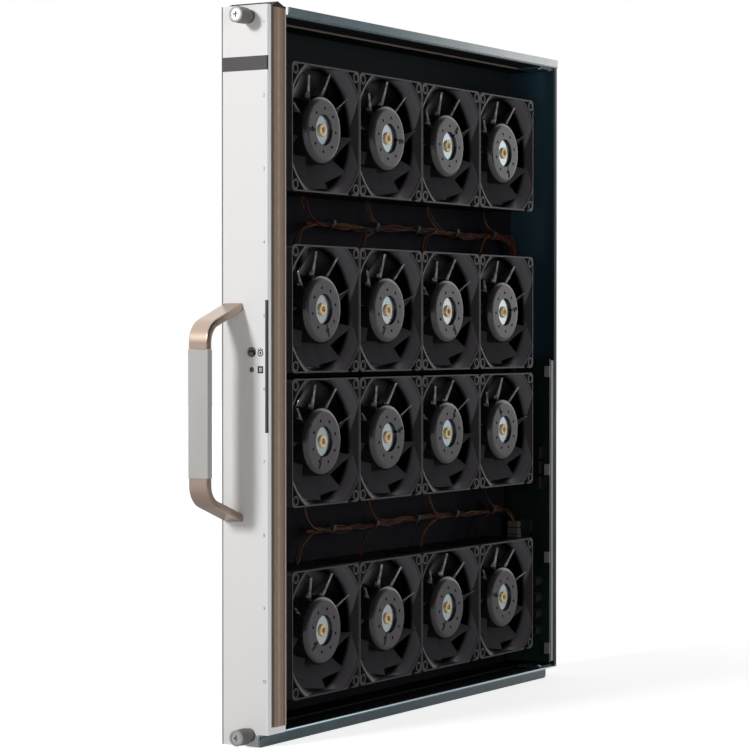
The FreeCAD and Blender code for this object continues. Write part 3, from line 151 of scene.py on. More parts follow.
class Finish:
    """A procedural material under construction."""

    def __init__(self, name, **fixed):
        self.material = bpy.data.materials.new(name)
        self.material.use_nodes = True
        self.tree = self.material.node_tree
        self.tree.nodes.clear()
        self.shader = add_node(self.tree, "ShaderNodeBsdfPrincipled")
        add_node(self.tree, "ShaderNodeOutputMaterial", {"Surface": self.shader.outputs["BSDF"]})
        self.done(**fixed)

    def socket(self, name):
        return self.shader.inputs[name.replace("_", " ").title().replace("Ior", "IOR")]

    def node(self, kind, inputs=None, output=0, **settings):
        """Any node, with one of its outputs as a value."""
        inputs = {name: getattr(value, "socket", value) for name, value in (inputs or {}).items()}
        return Value(self, output_of(self.tree, kind, inputs, output, **settings))

    def math(self, operation, *values):
        return self.node("ShaderNodeMath", dict(enumerate(values)), operation=operation)

    def mix(self, factor, first, second):
        return self.node("ShaderNodeMix", {0: factor, 6: first, 7: second}, 2, data_type="RGBA")

    def step(self, value, low, high, base=0.0):
        """Smooth rise from 0 at low to 1 at high, both measured from a base."""
        inputs = {"Value": value, "From Min": base + low, "From Max": base + high}
        return self.node("ShaderNodeMapRange", inputs, interpolation_type="SMOOTHSTEP")

    def band(self, value, low, high, soft=0.00005):
        return self.step(value, low - soft, low + soft) * (1 - self.step(value, high - soft, high + soft))

    def place(self):
        """Object coordinates as a vector and as x, y and z."""
        vector = self.node("ShaderNodeTexCoord", output="Object")
        parts = add_node(self.tree, "ShaderNodeSeparateXYZ", {0: vector.socket})
        return vector, *(Value(self, parts.outputs[i]) for i in range(3))

    def stored(self, name):
        """A number kept on the mesh's points."""
        return self.node("ShaderNodeAttribute", output=2, attribute_type="GEOMETRY", attribute_name=name)

    def stretch(self, vector, scale):
        return self.node("ShaderNodeMapping", {"Vector": vector, "Scale": scale})

    def noise(self, vector, scale, detail=3.0, roughness=0.5):
        return self.node("ShaderNodeTexNoise", {
            "Vector": vector, "Scale": scale, "Detail": detail, "Roughness": roughness})

    def cells(self, vector, scale, feature="F1", output=0):
        return self.node("ShaderNodeTexVoronoi", {"Vector": vector, "Scale": scale}, output, feature=feature)

    def bump(self, height, strength, distance=0.0002):
        return self.node("ShaderNodeBump", {"Height": height, "Strength": strength, "Distance": distance})

    def done(self, **inputs):
        for name, value in inputs.items():
            plug(self.tree, self.socket(name), getattr(value, "socket", value))
        return self.material

    def clouded(self, cloud, first, second, grain, rough, bump):
        """Two tones in clouds, with a fine grain in the gloss and on the surface."""
        return self.done(base_color=self.mix(cloud, first, second), roughness=rough[0] + grain * rough[1],
                         normal=self.bump(grain, bump))


def look(name, **fixed):
    """Turns a function into the maker of a finish, which is made once and shared."""
    def wrap(build):
        def maker():
            if name not in bpy.data.materials:
                made = Finish(name, **fixed)
                build(made, bpy.context.scene.tray_colours, *made.place())
            return bpy.data.materials[name]
        return maker
    return wrap


def dress(maker, *nodes):
    """Give nodes a finish and smooth their shading."""
    for node in nodes:
        thing = NODES[node]
        thing.data.materials.clear()
        thing.data.materials.append(maker())
        smooth(thing)


def geometry_tree(name, *inputs):
    """Turns a function into the maker of a geometry tree with named inputs, made once and shared."""
    def wrap(build):
        def maker():
            if name not in bpy.data.node_groups:
                tree = bpy.data.node_groups.new(name, "GeometryNodeTree")
                for way in ("INPUT", "OUTPUT"):
                    tree.interface.new_socket("Geometry", in_out=way, socket_type="NodeSocketGeometry")
                for label, kind, value in inputs:
                    socket = tree.interface.new_socket(label, in_out="INPUT", socket_type=f"NodeSocket{kind}")
                    if value is not None:
                        socket.default_value = value
                build(tree)
            return bpy.data.node_groups[name]
        return maker
    return wrap


@geometry_tree("smooth faces", ("Angle", "Float", math.radians(SMOOTH_ANGLE)))
def smooth_tree(tree):
    """Shades faces smooth up to an angle between them."""
    given = add_node(tree, "NodeGroupInput").outputs
    bare = output_of(tree, "GeometryNodeRemoveAttribute", {
        "Geometry": given["Geometry"], "Name": "custom_normal"})
    faces = output_of(tree, "GeometryNodeSetShadeSmooth", {"Geometry": bare})
    turn = output_of(tree, "GeometryNodeInputMeshEdgeAngle", output="Unsigned Angle")
    flat = output_of(tree, "FunctionNodeCompare", {0: turn, 1: given["Angle"]}, operation="LESS_THAN")
    edges = output_of(
        tree, "GeometryNodeSetShadeSmooth", {"Geometry": faces, "Shade Smooth": flat}, domain="EDGE")
    add_node(tree, "NodeGroupOutput", {"Geometry": edges})


def smooth(thing, joined=False):
    """Shade by angle, weighted by area; a mesh that isn't joined yet is welded first."""
    if not joined:
        weld = thing.modifiers.new("joined", "WELD")
        weld.merge_threshold = MERGE
    shade = thing.modifiers.new("smooth", "NODES")
    shade.node_group = smooth_tree()
    even = thing.modifiers.new("even", "WEIGHTED_NORMAL")
    even.keep_sharp = True


def placed(name, data):
    """A new object in the scene."""
    thing = bpy.data.objects.new(name, data)
    bpy.context.scene.collection.objects.link(thing)
    return thing


def piece(name, mesh, body, makers=(), replaced=()):
    """A finished mesh as a piece of the tray."""
    thing = placed(name, mesh)
    for maker in makers:
        mesh.materials.append(maker())
    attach(thing, body)
    if replaced:
        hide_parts(*replaced)
    return thing


def mesh_from(name, build):
    """Mesh from a function that fills a bmesh, with faces turned outwards."""
    mesh = bpy.data.meshes.new(name)
    work = bmesh.new()
    build(work)
    bmesh.ops.recalc_face_normals(work, faces=work.faces)
    work.to_mesh(mesh)
    work.free()
    return mesh


def built(name, build, maker, replaced=()):
    """A piece fixed to the tray, from a function that fills a bmesh."""
    return piece(name, mesh_from(name, build), TRAY, [maker], replaced)


def baked(holder):
    """The plain mesh of a helper object, which is then removed."""
    bpy.context.view_layer.update()
    mesh = bpy.data.meshes.new_from_object(holder.evaluated_get(bpy.context.evaluated_depsgraph_get()))
    bpy.data.objects.remove(holder)
    mesh.materials.clear()
    return mesh


def merged_copy(work, node):
    """Fill a bmesh with a node's triangles, joined."""
    work.from_mesh(NODES[node].data)
    bmesh.ops.remove_doubles(work, verts=work.verts, dist=MERGE)


# Finishes


def grained(name, first, second, scale, detail, rough, bump=0.0, **fixed):
    """The maker of a finish of two tones in a fine grain, which also varies its gloss.

    A tone is a colour, or the name of one of the tray's colours and a factor."""
    @look(name, **fixed)
    def maker(made, colours, vector, *_):
        tones = [getattr(colours, tone[0]) * tone[1] if isinstance(tone[0], str) else tone
                 for tone in (first, second)]
        grain = made.noise(vector, scale, detail)
        if bump:
            made.done(normal=made.bump(grain, bump))
        return made.done(base_color=made.mix(grain, *tones), roughness=rough[0] + grain * rough[1])
    return maker


bright_zinc = grained("bright zinc", ("zinc", 0.8), ("zinc", 1), 300, 4, (0.22, 0.2), metallic=1.0)
lamp_lens = grained("lamp lens", ("lens", 1), ("lens", 0.7), 900, 2, (0.15, 0.1), transmission_weight=0.2)
yoke_steel = grained("yoke steel", ("yoke", 0.9), ("yoke", 1), 260, 4, (0.16, 0.06), metallic=0.95)
clip_nylon = grained("clip nylon", (0.14, 0.14, 0.145), (0.19, 0.19, 0.195), 900, 3, (0.42, 0.12))
connector_black = grained(
    "connector black", (0.015, 0.015, 0.017), (0.03, 0.03, 0.033), 1300, 3, (0.4, 0.15), bump=0.1)
tie_nylon = grained("tie nylon", (0.012, 0.012, 0.012), (0.022, 0.022, 0.022), 900, 3, (0.45, 0.15))
print_grey = grained("print grey", ("printing", 0.85), ("printing", 1), 800, 3, (0.5, 0.1))
print_black = grained("print black", (0.018, 0.018, 0.019), (0.03, 0.03, 0.032), 800, 3, (0.45, 0.1))
WIRES = [
    grained(f"wire {name}", Color(tone) * 0.7, tone, 500, 3, (0.36, 0.15), specular_ior_level=0.2)
    for name, tone in (("black", (0.008, 0.008, 0.009)), ("red", (0.060, 0.010, 0.008)),
                       ("yellow", (0.075, 0.036, 0.008)), ("brown", (0.026, 0.011, 0.007)))]


@look("plate paint")
def plate_paint(made, colours, vector, x, y, z):
    """Pale powder coat with a printed band and edge mark, and painted shade as a dark line along the left
    edge; the bent sides are bare, painted dark as shade beside and under the gasket.
    """
    sizes = bpy.context.scene.tray_sizes
    face = PLATE_LOW.y
    bare = made.step(y, 0.0010, 0.0013, face)
    grain = made.noise(vector, 1400, 4)
    cloud = made.noise(vector, 9, 2)
    paint = made.mix(cloud, colours.paint, colours.paint * 0.95)
    paint = made.mix(made.band(z, sizes.band_low, sizes.band_high), paint, colours.band)
    edge = made.step(x, -0.0018, -0.0016, PLATE_HIGH.x)
    paint = made.mix(made.band(z, sizes.mark_low, sizes.mark_high) * edge, paint, colours.band)
    # Painted shade: a near-black line along the plate's left edge, where its face turns away.
    cut = 1 - made.step(x, 0.0011, 0.0015, PLATE_LOW.x)
    paint = made.mix(cut * 0.95, paint, colours.side * 0.05)
    streak = made.noise(made.stretch(vector, (1, 1, 0.02)), 700, 3)
    side = made.mix(streak, colours.side * 0.93, colours.side)
    # Painted shade: the bent sides go dark from about 4 mm behind the face, beside and under the gasket,
    # above its foot.
    inside = made.step(y, 0.0039, 0.0043, face)
    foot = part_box("emi_gasket")[0].z
    inside = inside * made.step(z, -0.0004, 0.0004, foot)
    side = made.mix(inside, side, colours.side * 0.14)
    return made.done(
        base_color=made.mix(bare, paint, side), metallic=bare * 0.15,
        roughness=0.48 + grain * 0.1 - bare * 0.1, normal=made.bump(grain, 0.1))


@look("gasket fabric")
def gasket_fabric(made, colours, vector, x, y, z):
    """Woven conductive fabric, with a painted highlight along the middle of its face and painted shade in a
    groove near its back and at the side strip's top end; the top ridge is darker.
    """
    thread = 2 * math.pi / 0.0008
    weave = made.math("SINE", z * thread) * made.math("SINE", (y + x) * thread)
    cloud = made.noise(made.stretch(vector, (1, 1, 0.22)), 900, 4)
    wear = made.noise(vector, 60, 3)
    cloth = made.mix(cloud, colours.gasket * 0.78, colours.gasket * 1.16)
    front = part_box("emi_gasket")[0].y
    # Painted highlight: a paler band along the middle of the gasket's face.
    crown_highlight = made.band(y, front + 0.0038, front + 0.0058, 0.0012) * cloud
    cloth = made.mix(crown_highlight, cloth, colours.gasket * 2.0)
    # Painted shade: a darker line in a groove near the gasket's back.
    fold_shade = made.band(y, front + 0.0096, front + 0.0112, 0.0006)
    cloth = made.mix(fold_shade * 0.8, cloth, colours.gasket * 0.45)
    hem = made.step(y, 0.0115, 0.0121, front)
    cloth = made.mix(hem, cloth, colours.hem)
    ridge = made.step(z, 0.0001, 0.0003, PLATE_HIGH.z)
    # Painted shade: the side strip's top end, where it rounds over, is darkened like the ridge.
    end = made.step(z, -0.0016, -0.0008, PLATE_HIGH.z)
    cloth = made.mix(made.math("MAXIMUM", ridge, end), cloth, (0.012, 0.012, 0.013))
    return made.done(base_color=cloth, roughness=0.62 + wear * 0.25, normal=made.bump(weave, 0.35, 0.0003))


@look("rail steel")
def rail_steel(made, colours, vector, x, y, z):
    """Plated sheet: blue-grey outside, paler towards the rear as a painted reflection and with a painted
    highlight along the floor lip's top; painted dark inside the tray as shade.
    """
    spangle = made.cells(vector, 160, output="Color")
    spangle = made.node("ShaderNodeSeparateColor", {"Color": spangle})
    streak = made.noise(made.stretch(vector, (1, 0.03, 1)), 420, 4)
    scuff = made.noise(vector, 34, 5, 0.65)
    steel = made.mix(streak * 0.7 + spangle * 0.3, colours.rail * 0.72, colours.rail)
    upper = made.step(z, 0.1, 0.3)
    # Painted reflection: paler towards the rear, fully on the roof's lip and a quarter as much on the
    # floor's.
    pale = made.step(y, -0.08, 0.20) * (0.25 + upper * 0.75)
    steel = made.mix(pale, steel, colours.zinc)
    # Painted highlight: a pale line along the floor lip's top, fading towards the rear.
    bend_highlight = made.step(z, -0.0014, -0.0006, FLOOR_HIGH.z) * (1 - upper)
    bend_highlight = bend_highlight * made.step(x, -0.0016, -0.0008, FLOOR_HIGH.x)
    bend_highlight = bend_highlight * (1 - made.step(y, -0.18, 0.05) * 0.8)
    steel = made.mix(bend_highlight, steel, colours.rail * 2.4)
    # Painted shade: faces inside the tray are near-black, the roof's a little bluer, and less metallic and
    # rougher.
    inner = made.band(z, FLOOR_HIGH.z - 0.00025, ROOF_LOW.z + 0.00025) * (
        1 - made.step(x, FLOOR_HIGH.x - 0.0002, FLOOR_HIGH.x))
    steel = made.mix(inner, steel, made.mix(upper, colours.inside, colours.rail * 0.05))
    return made.done(
        base_color=steel, metallic=0.95 - inner * 0.7, roughness=0.16 + scuff * 0.18 + inner * 0.3,
        normal=made.bump(streak, 0.05))


@look("inside black", specular_ior_level=0.06)
def inside_black(made, colours, vector, x, y, z):
    """Dark blue-black tone of the panel that carries the fans, painted shade of the tray's inside."""
    grain = made.noise(vector, 1200, 3)
    cloud = made.noise(vector, 14, 4)
    tone = made.mix(cloud, colours.inside * 0.7, colours.inside * 1.3)
    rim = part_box("outlet_panel")[1].x
    cut = made.step(x, -0.0002, -0.0001, rim) * made.step(z, 0.2, 0.3)
    tone = made.mix(made.step(z, 0.40, 0.45), tone, colours.rail * 0.05)
    tone = made.mix(cut, tone, colours.cut)
    return made.done(base_color=tone, roughness=0.5 + cloud * 0.15, normal=made.bump(grain, 0.12))


@look("rear blue")
def rear_blue(made, colours, vector, x, y, z):
    """Rear wall: dark blue-green inside, darker low down and towards the panel as painted shade, plated
    outside, and painted near-black as shade along its outward edge.
    """
    cloud = made.noise(made.stretch(vector, (1, 1, 0.3)), 22, 4)
    inner = made.mix(cloud, colours.rear * 0.75, colours.rear)
    shade = made.step(z, 0.25, 0.44) * made.step(x, -0.012, 0.016)
    inner = made.mix(shade, colours.rear * 0.3, inner)
    outside = made.step(y, -0.0008, -0.0004, REAR_HIGH.y)
    tone = made.mix(outside, inner, colours.rail)
    # Painted shade: the wall's outward edge is near-black.
    rim = made.step(x, -0.0006, -0.0003, REAR_HIGH.x)
    tone = made.mix(rim, tone, colours.rear * 0.1)
    return made.done(base_color=tone, metallic=outside * (1 - rim) * 0.7, roughness=0.3 + cloud * 0.2)


@look("handle bronze", metallic=0.95)
def handle_bronze(made, colours, vector, *_):
    """Bead-blasted, champagne-coloured anodising."""
    grain = made.noise(vector, 2600, 2)
    cloud = made.noise(vector, 40, 3)
    return made.clouded(cloud, colours.bronze * 0.92, colours.bronze, grain, (0.28, 0.12), 0.06)


@look("grip grey", metallic=0.35)
def grip_grey(made, colours, vector, *_):
    grain = made.noise(vector, 2200, 3)
    cloud = made.noise(made.stretch(vector, (1, 1, 0.1)), 90, 3)
    return made.clouded(cloud, colours.grip * 0.9, colours.grip, grain, (0.4, 0.12), 0.08)


@look("knob nickel")
def knob_nickel(made, colours, vector, x, y, z):
    scuff = made.noise(vector, 420, 4)
    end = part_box("upper_thumbscrew")[0].y
    side = made.step(y, 0.0003, 0.0006, end)
    tone = made.mix(scuff, colours.nickel * 0.40, colours.nickel * 0.7)
    tone = made.mix(1 - side, tone, colours.nickel)
    return made.done(base_color=tone, metallic=0.45, roughness=0.4 + scuff * 0.2)


@look("clear button", specular_ior_level=0.15)
def clear_button(made, colours, vector, *_):
    cloud = made.noise(vector, 900, 2)
    facet = made.step(made.cells(vector, 520), 0.34, 0.60)
    tone = made.mix(facet, colours.button, colours.button * 16)
    return made.done(base_color=tone, roughness=0.12 + cloud * 0.1)


@look("frame plastic", specular_ior_level=0.5)
def frame_plastic(made, colours, vector, x, y, z):
    """Glass-filled black moulding of the fan frames, paler in the bell, and near-black and metallic further
    in, as painted shade inside the duct.
    """
    grain = made.noise(vector, 1800, 3)
    cloud = made.noise(vector, 45, 4)
    tone = made.mix(cloud, colours.frame * 0.8, colours.frame * 1.2)
    front = fan_centre("r1c1").x
    bell = 1 - made.step(x, -0.0008, -0.0003, front)
    tone = made.mix(bell, tone, colours.frame * 2.3)
    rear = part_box("fan_frame_r1c1")[0].x
    # Painted shade: near-black and metallic from 8.5 mm behind the front to just before the back.
    deep_shade = made.step(x, 0.0006, 0.0016, rear) * (1 - made.step(x, -0.0085, -0.0050, front))
    tone = made.mix(deep_shade, tone, colours.frame * 0.15)
    return made.done(
        base_color=tone, metallic=deep_shade, roughness=0.3 + grain * 0.12, normal=made.bump(grain, 0.08))


@look("hub plastic", specular_ior_level=0.9)
def hub_plastic(made, colours, vector, *_):
    """Black moulding of the hub, with a spark-eroded grain; its rounded rim is painted darker as shade, and a
    dark line on its face is painted shade standing for a slot.
    """
    # Painted shade: faces behind the hub's flat face, its rounded rim, take a darker tone.
    face = 1 - made.step(made.stored("depth"), 0.0002, 0.0010)
    grain = made.noise(vector, 1100, 4, 0.7)
    speck = made.step(grain, 0.38, 0.68)
    tone = made.mix(face * (0.25 + speck * 0.75), colours.impeller * 0.6, colours.hub)
    # Painted shade: a dark line on the hub's face that stands for a slot running from the moulded mark
    # towards the eye.
    slit_shade = made.band(made.stored("aside"), -0.0008, 0.0008) * made.band(made.stored("along"), 0.008, 0.0135)
    tone = made.mix(slit_shade, tone, colours.impeller * 0.3)
    return made.done(
        base_color=tone, metallic=slit_shade, roughness=0.2 + grain * 0.1, normal=made.bump(grain, 0.05))


@look("blade edge highlight", specular_ior_level=0.9)
def blade_edge_highlight(made, colours, vector, *_):
    """Pale leading edges of the blades: a painted highlight."""
    wear = made.noise(vector, 240, 4)
    tone = made.mix(made.step(wear, 0.3, 0.7), colours.lead_highlight * 0.35, colours.lead_highlight)
    return made.done(base_color=tone, roughness=0.2 + wear * 0.1)


@look("blade plastic", specular_ior_level=0.02)
def blade_plastic(made, colours, vector, *_):
    """Smooth black moulding of the blades."""
    grain = made.noise(vector, 2000, 3)
    cloud = made.noise(vector, 60, 4)
    return made.clouded(
        cloud, colours.impeller * 3.2, colours.impeller * 4.2, grain, (0.42, 0.08), 0.04)


@look("boss brass")
def boss_brass(made, colours, vector, *_):
    """Staked brass with dark pits."""
    scuff = made.noise(vector, 900, 4, 0.7)
    ring = made.band(made.stored("reach"), 0.0011, 0.0019, 0.0003) * made.step(scuff, 0.40, 0.52)
    pit = made.math("MAXIMUM", ring, 1 - made.step(scuff, 0.32, 0.46))
    tone = made.mix(pit, colours.brass, [c * f for c, f in zip(colours.brass, (0.12, 0.06, 0.03))])
    return made.done(
        base_color=tone, metallic=0.5, roughness=0.28 + scuff * 0.2,
        normal=made.bump(scuff - pit, 0.5, 0.0005))


@look("winding copper")
def winding_copper(made, colours, vector, x, y, z):
    wire = made.math("SINE", x * (2 * math.pi / 0.0006))
    tone = made.mix(wire * 0.5 + 0.5, (0.18, 0.07, 0.03), (0.55, 0.26, 0.10))
    return made.done(base_color=tone, metallic=0.6, roughness=0.35, normal=made.bump(wire, 0.4, 0.0004))


@look("board mask")
def board_mask(made, colours, vector, x, y, z):
    """Solder-masked laminate with faint tracks and pads, pale along its cut edge."""
    tracks = made.cells(made.stretch(vector, (1, 1, 0.45)), 260, "DISTANCE_TO_EDGE")
    track = 1 - made.step(tracks, 0.03, 0.06)
    pads = 1 - made.step(made.cells(vector, 420), 0.08, 0.12)
    low = 1 - made.step(z, 0.02, 0.11)
    mask = made.mix(low, colours.board, colours.board * 2.2)
    tone = made.mix(track * 0.5, mask, colours.board * 1.8)
    tone = made.mix(pads, tone, (0.10, 0.095, 0.08))
    edge = made.step(x, -0.0002, -0.0001, BOARD_HIGH.x)
    tone = made.mix(edge, tone, (0.10, 0.10, 0.08))
    return made.done(base_color=tone, metallic=pads * 0.8, roughness=0.38 + track * 0.1,
                     normal=made.bump(track + pads, 0.15, 0.0001))


@look("board parts")
def board_parts(made, colours, vector, x, y, z):
    """Pale headers, and dark inductors, capacitors and chips, told apart by place."""
    grain = made.noise(vector, 700, 4)
    header = 1 - made.step(x, -0.0045, -0.0040)
    inductor = made.step(x, 0.0045, 0.0048) * made.band(z, 0.136, 0.172)
    tone = made.mix(grain, (0.008, 0.008, 0.009), (0.016, 0.016, 0.018))
    tone = made.mix(inductor, tone, (0.005, 0.004, 0.0035))
    tone = made.mix(header, tone, (0.06, 0.056, 0.05))
    return made.done(base_color=tone, roughness=0.38 + grain * 0.2, normal=made.bump(grain, 0.1))


@look("strip grey")
def strip_grey(made, colours, vector, x, y, z):
    """Dull edge strip along the control board."""
    cloud = made.noise(made.stretch(vector, (1, 1, 0.08)), 160, 4)
    back = made.step(y, 0.0022, 0.0026, BOARD_HIGH.y)
    tone = made.mix(cloud, (0.30, 0.30, 0.31), (0.40, 0.40, 0.42))
    tone = made.mix(back, tone, (0.045, 0.047, 0.050))
    return made.done(base_color=tone, roughness=0.4 + cloud * 0.15)


# Settings


def length(name, words, default):
    return bpy.props.FloatProperty(name=name, description=words, default=default, unit="LENGTH", precision=5)


class TraySizes(bpy.types.PropertyGroup):
    """Sizes of the printing, the wire bundles and a rotor's zones."""

    band_low: length("Band foot", "Lower edge of the dark band", 0.4113)
    band_high: length("Band head", "Upper edge of the dark band", 0.4200)
    mark_low: length("Edge mark foot", "Lower end of the mark on the plate's edge", 0.1914)
    mark_high: length("Edge mark head", "Upper end of the mark on the plate's edge", 0.2720)
    number_top: length("First number", "Height of the first slot number", 0.4403)
    number_pitch: length("Number spacing", "Between slot numbers, one rack unit", 0.04445)
    number_size: length("Number size", "Type size of the slot numbers", 0.0030)
    upper_rise: length("Upper bundle", "Upper bundle over the second row", 0.0159)
    lower_rise: length("Lower bundle", "Lower bundle over the fourth row", 0.0201)
    upper_foot: length("Upper foot", "Height where the upper bundle ends", 0.2214)
    lower_foot: length("Lower foot", "Height where the lower bundle ends", 0.1134)
    loom_spread: length("Loom spread", "How far the wires wander", 0.0110)
    hub_radius: length("Hub radius", "Beyond it a rotor is blades", 0.0222)
    lead_depth: length("Leading edges", "Depth behind the hub's face that holds the leading edges", 0.0140)


def colour(name, words, default):
    return bpy.props.FloatVectorProperty(
        name=name, description=words, default=default, subtype="COLOR", size=3, min=0, max=1)


class TrayColours(bpy.types.PropertyGroup):
    """Colours of the finishes."""

    paint: colour("Paint", "Front plate", (0.80, 0.79, 0.78))
    band: colour("Band", "Printed band and edge mark", (0.038, 0.034, 0.036))
    side: colour("Sides", "Front plate's bent sides", (0.90, 0.92, 0.93))
    zinc: colour("Zinc", "Bare plated sheet and fasteners", (0.55, 0.57, 0.58))
    gasket: colour("Gasket", "Fabric gasket", (0.285, 0.207, 0.158))
    hem: colour("Gasket hem", "Pale rear edge of the gasket", (0.50, 0.43, 0.39))
    rail: colour("Rails", "Plated lips of floor and roof", (0.175, 0.235, 0.26))
    # Painted shade: this near-black stands in for the shade inside the tray.
    inside: colour("Inside", "Coat inside the tray", (0.005, 0.005, 0.007))
    cut: colour("Cut edge", "Bare edge of the coated panel", (0.15, 0.125, 0.11))
    rear: colour("Rear wall", "Inside of the rear wall", (0.05, 0.11, 0.15))
    bronze: colour("Handle arms", "Champagne anodising", (0.43, 0.335, 0.275))
    grip: colour("Grip", "Handle grip", (0.45, 0.44, 0.42))
    nickel: colour("Nickel", "Knobs", (0.36, 0.35, 0.34))
    button: colour("Button", "Beacon button", (0.010, 0.010, 0.011))
    lens: colour("Lens", "Status light, unlit", (0.06, 0.06, 0.06))
    frame: colour("Frames", "Fan frames", (0.021, 0.019, 0.022))
    impeller: colour("Impellers", "Hubs and blades", (0.012, 0.0115, 0.0125))
    hub: colour("Hub face", "Paler grain of the hubs' faces", (0.046, 0.036, 0.045))
    # Pale tone of the blades' leading edges: a painted highlight.
    lead_highlight: colour("Blade edges", "Polished leading edges", (0.92, 0.91, 0.92))
    yoke: colour("Yoke", "Steel in the hub's eye", (0.66, 0.75, 0.80))
    brass: colour("Brass", "Shaft boss", (0.92, 0.70, 0.36))
    board: colour("Board", "Solder mask", (0.003, 0.008, 0.006))
    printing: colour("Printing", "Slot numbers", (0.22, 0.22, 0.22))


# Pieces


def flat_text(words, size, place):
    """Numerals as a thin mesh just proud of the front plate."""
    curve = bpy.data.curves.new("number", "FONT")
    curve.body = words
    curve.size = size
    curve.align_x = "CENTER"
    curve.align_y = "CENTER"
    curve.extrude = PRINT_DEPTH
    mesh = baked(placed("number", curve))
    mesh.transform(Matrix.Translation(place) @ Matrix.Rotation(math.radians(90), 4, "X"))
    return mesh


def joined(name, meshes):
    """One mesh out of several."""
    mesh = bpy.data.meshes.new(name)
    work = bmesh.new()
    for other in meshes:
        work.from_mesh(other)
        bpy.data.meshes.remove(other)
    work.to_mesh(mesh)
    work.free()
    return mesh


def walls(work, one, two):
    """Faces between two loops of points."""
    return [work.faces.new((one[i - 1], one[i], two[i], two[i - 1])) for i in range(len(one))]


def flat_shape(work, place, points, inner=()):
    """A thin printed shape: an outline in millimetres round a point on the plate's face, with an opening."""
    rings = []
    for level in (PLATE_LOW.y - PRINT_RISE, PLATE_LOW.y + PRINT_DEPTH):
        for loop in (points, inner):
            rings.append([work.verts.new((place[0] + u * MM, level, place[1] + v * MM)) for u, v in loop])
    front, front_in, back, back_in = rings
    walls(work, front, back)
    walls(work, front_in, back_in)
    for outer, hole in ((front, front_in), (back, back_in)):
        if hole:
            walls(work, outer, hole)
        else:
            work.faces.new(outer)


def round_points(radius, count=28, v=0.0):
    turns = [2 * math.pi * i / count for i in range(count)]
    return [(radius * math.cos(turn), v + radius * math.sin(turn)) for turn in turns]


def box_points(width, height, u=0.0, v=0.0):
    return [(u + i * width / 2, v + j * height / 2) for i, j in ((-1, -1), (1, -1), (1, 1), (-1, 1))]


class TRAY_OT_front_plate(bpy.types.Operator):
    """Paint the front plate and print its slot numbers"""

    bl_idname = "tray.front_plate"
    bl_label = "Front plate"

    def execute(self, context):
        sizes = context.scene.tray_sizes
        dress(plate_paint, "faceplate")
        x, y = PLATE_HIGH.x - NUMBER_INSET, PLATE_LOW.y - PRINT_RISE
        heights = [sizes.number_top - n * sizes.number_pitch for n in range(10)]
        numbers = [flat_text(str(n + 1), sizes.number_size, Vector((x, y, z))) for n, z in enumerate(heights)]
        piece("slot_numbers", joined("slot_numbers", numbers), TRAY, [print_grey])
        built("plate_icons", self.icons, print_black)
        return {"FINISHED"}

    def icons(self, work):
        """A lamp sign beside the button and a square sign beside the status light."""
        x = PLATE_HIGH.x - ICON_INSET
        lamp_sign, square_sign = [(x, sum(corner.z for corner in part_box(node)) / 2)
                                  for node in ("beacon_button", "status_light_pipe")]
        drop = -0.6
        flat_shape(work, lamp_sign, round_points(2.1, v=drop), round_points(1.4, v=drop))
        flat_shape(work, lamp_sign, round_points(0.8, v=drop))
        for turn in (-40, 0, 40):
            lean = math.radians(turn)
            ray = box_points(0.6, 0.9, 2.1 * math.sin(lean), 2.2 * math.cos(lean) - 0.1)
            flat_shape(work, lamp_sign, ray)
        flat_shape(work, square_sign, box_points(4.0, 4.4), box_points(1.5, 2.1))
        flat_shape(work, square_sign, box_points(0.7, 1.2))


class TRAY_OT_gaskets(bpy.types.Operator):
    """Weave of the gaskets"""

    bl_idname = "tray.gaskets"
    bl_label = "Gaskets"

    def execute(self, context):
        dress(gasket_fabric, "emi_gasket")
        return {"FINISHED"}


class TRAY_OT_sheet_metal(bpy.types.Operator):
    """Finishes of the tray's sheets"""

    bl_idname = "tray.sheet_metal"
    bl_label = "Sheet metal"

    def execute(self, context):
        dress(rail_steel, "floor_plate", "top_plate")
        dress(inside_black, "outlet_panel")
        dress(rear_blue, "rear_wall")
        dress(bright_zinc, "rivets")
        return {"FINISHED"}


class TRAY_OT_handle(bpy.types.Operator):
    """Grip, arms and screws of the handle"""

    bl_idname = "tray.handle"
    bl_label = "Handle"

    def execute(self, context):
        dress(grip_grey, "handle_grip")
        screws = built("arm_screws", self.screws, bright_zinc, ["handle_screws"])
        smooth(screws, joined=True)
        for end in ("upper", "lower"):
            self.arm(end)
        return {"FINISHED"}

    def screws(self, work):
        """The handle's screws, short enough to end inside the arms."""
        merged_copy(work, "handle_screws")
        for vert in work.verts:
            vert.co.y = max(vert.co.y, PLATE_LOW.y - SCREW_REACH)
        bmesh.ops.remove_doubles(work, verts=work.verts, dist=MERGE)

    def arm(self, end):
        """An arm with its screw hole closed over, so that its outer side is whole."""
        node = f"handle_{end}_arm"
        low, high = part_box(node)
        thread = [v.co for v in NODES["handle_screws"].data.vertices
                  if low.z < v.co.z < high.z and v.co.y < PLATE_LOW.y]
        middle = [(min(p[i] for p in thread) + max(p[i] for p in thread)) / 2 for i in (0, 2)]
        reach = max(math.hypot(p.x - middle[0], p.z - middle[1]) for p in thread) + HOLE_PLAY

        def build(work):
            merged_copy(work, node)
            inside = [f for f in work.faces if all(
                math.hypot(v.co.x - middle[0], v.co.z - middle[1]) < reach for v in f.verts)]
            bmesh.ops.delete(work, geom=inside, context="FACES")
            bmesh.ops.holes_fill(work, edges=[e for e in work.edges if e.is_boundary], sides=0)
            bmesh.ops.triangulate(work, faces=[f for f in work.faces if len(f.verts) > 4])

        smooth(built(f"{end}_arm", build, handle_bronze, [node]), joined=True)


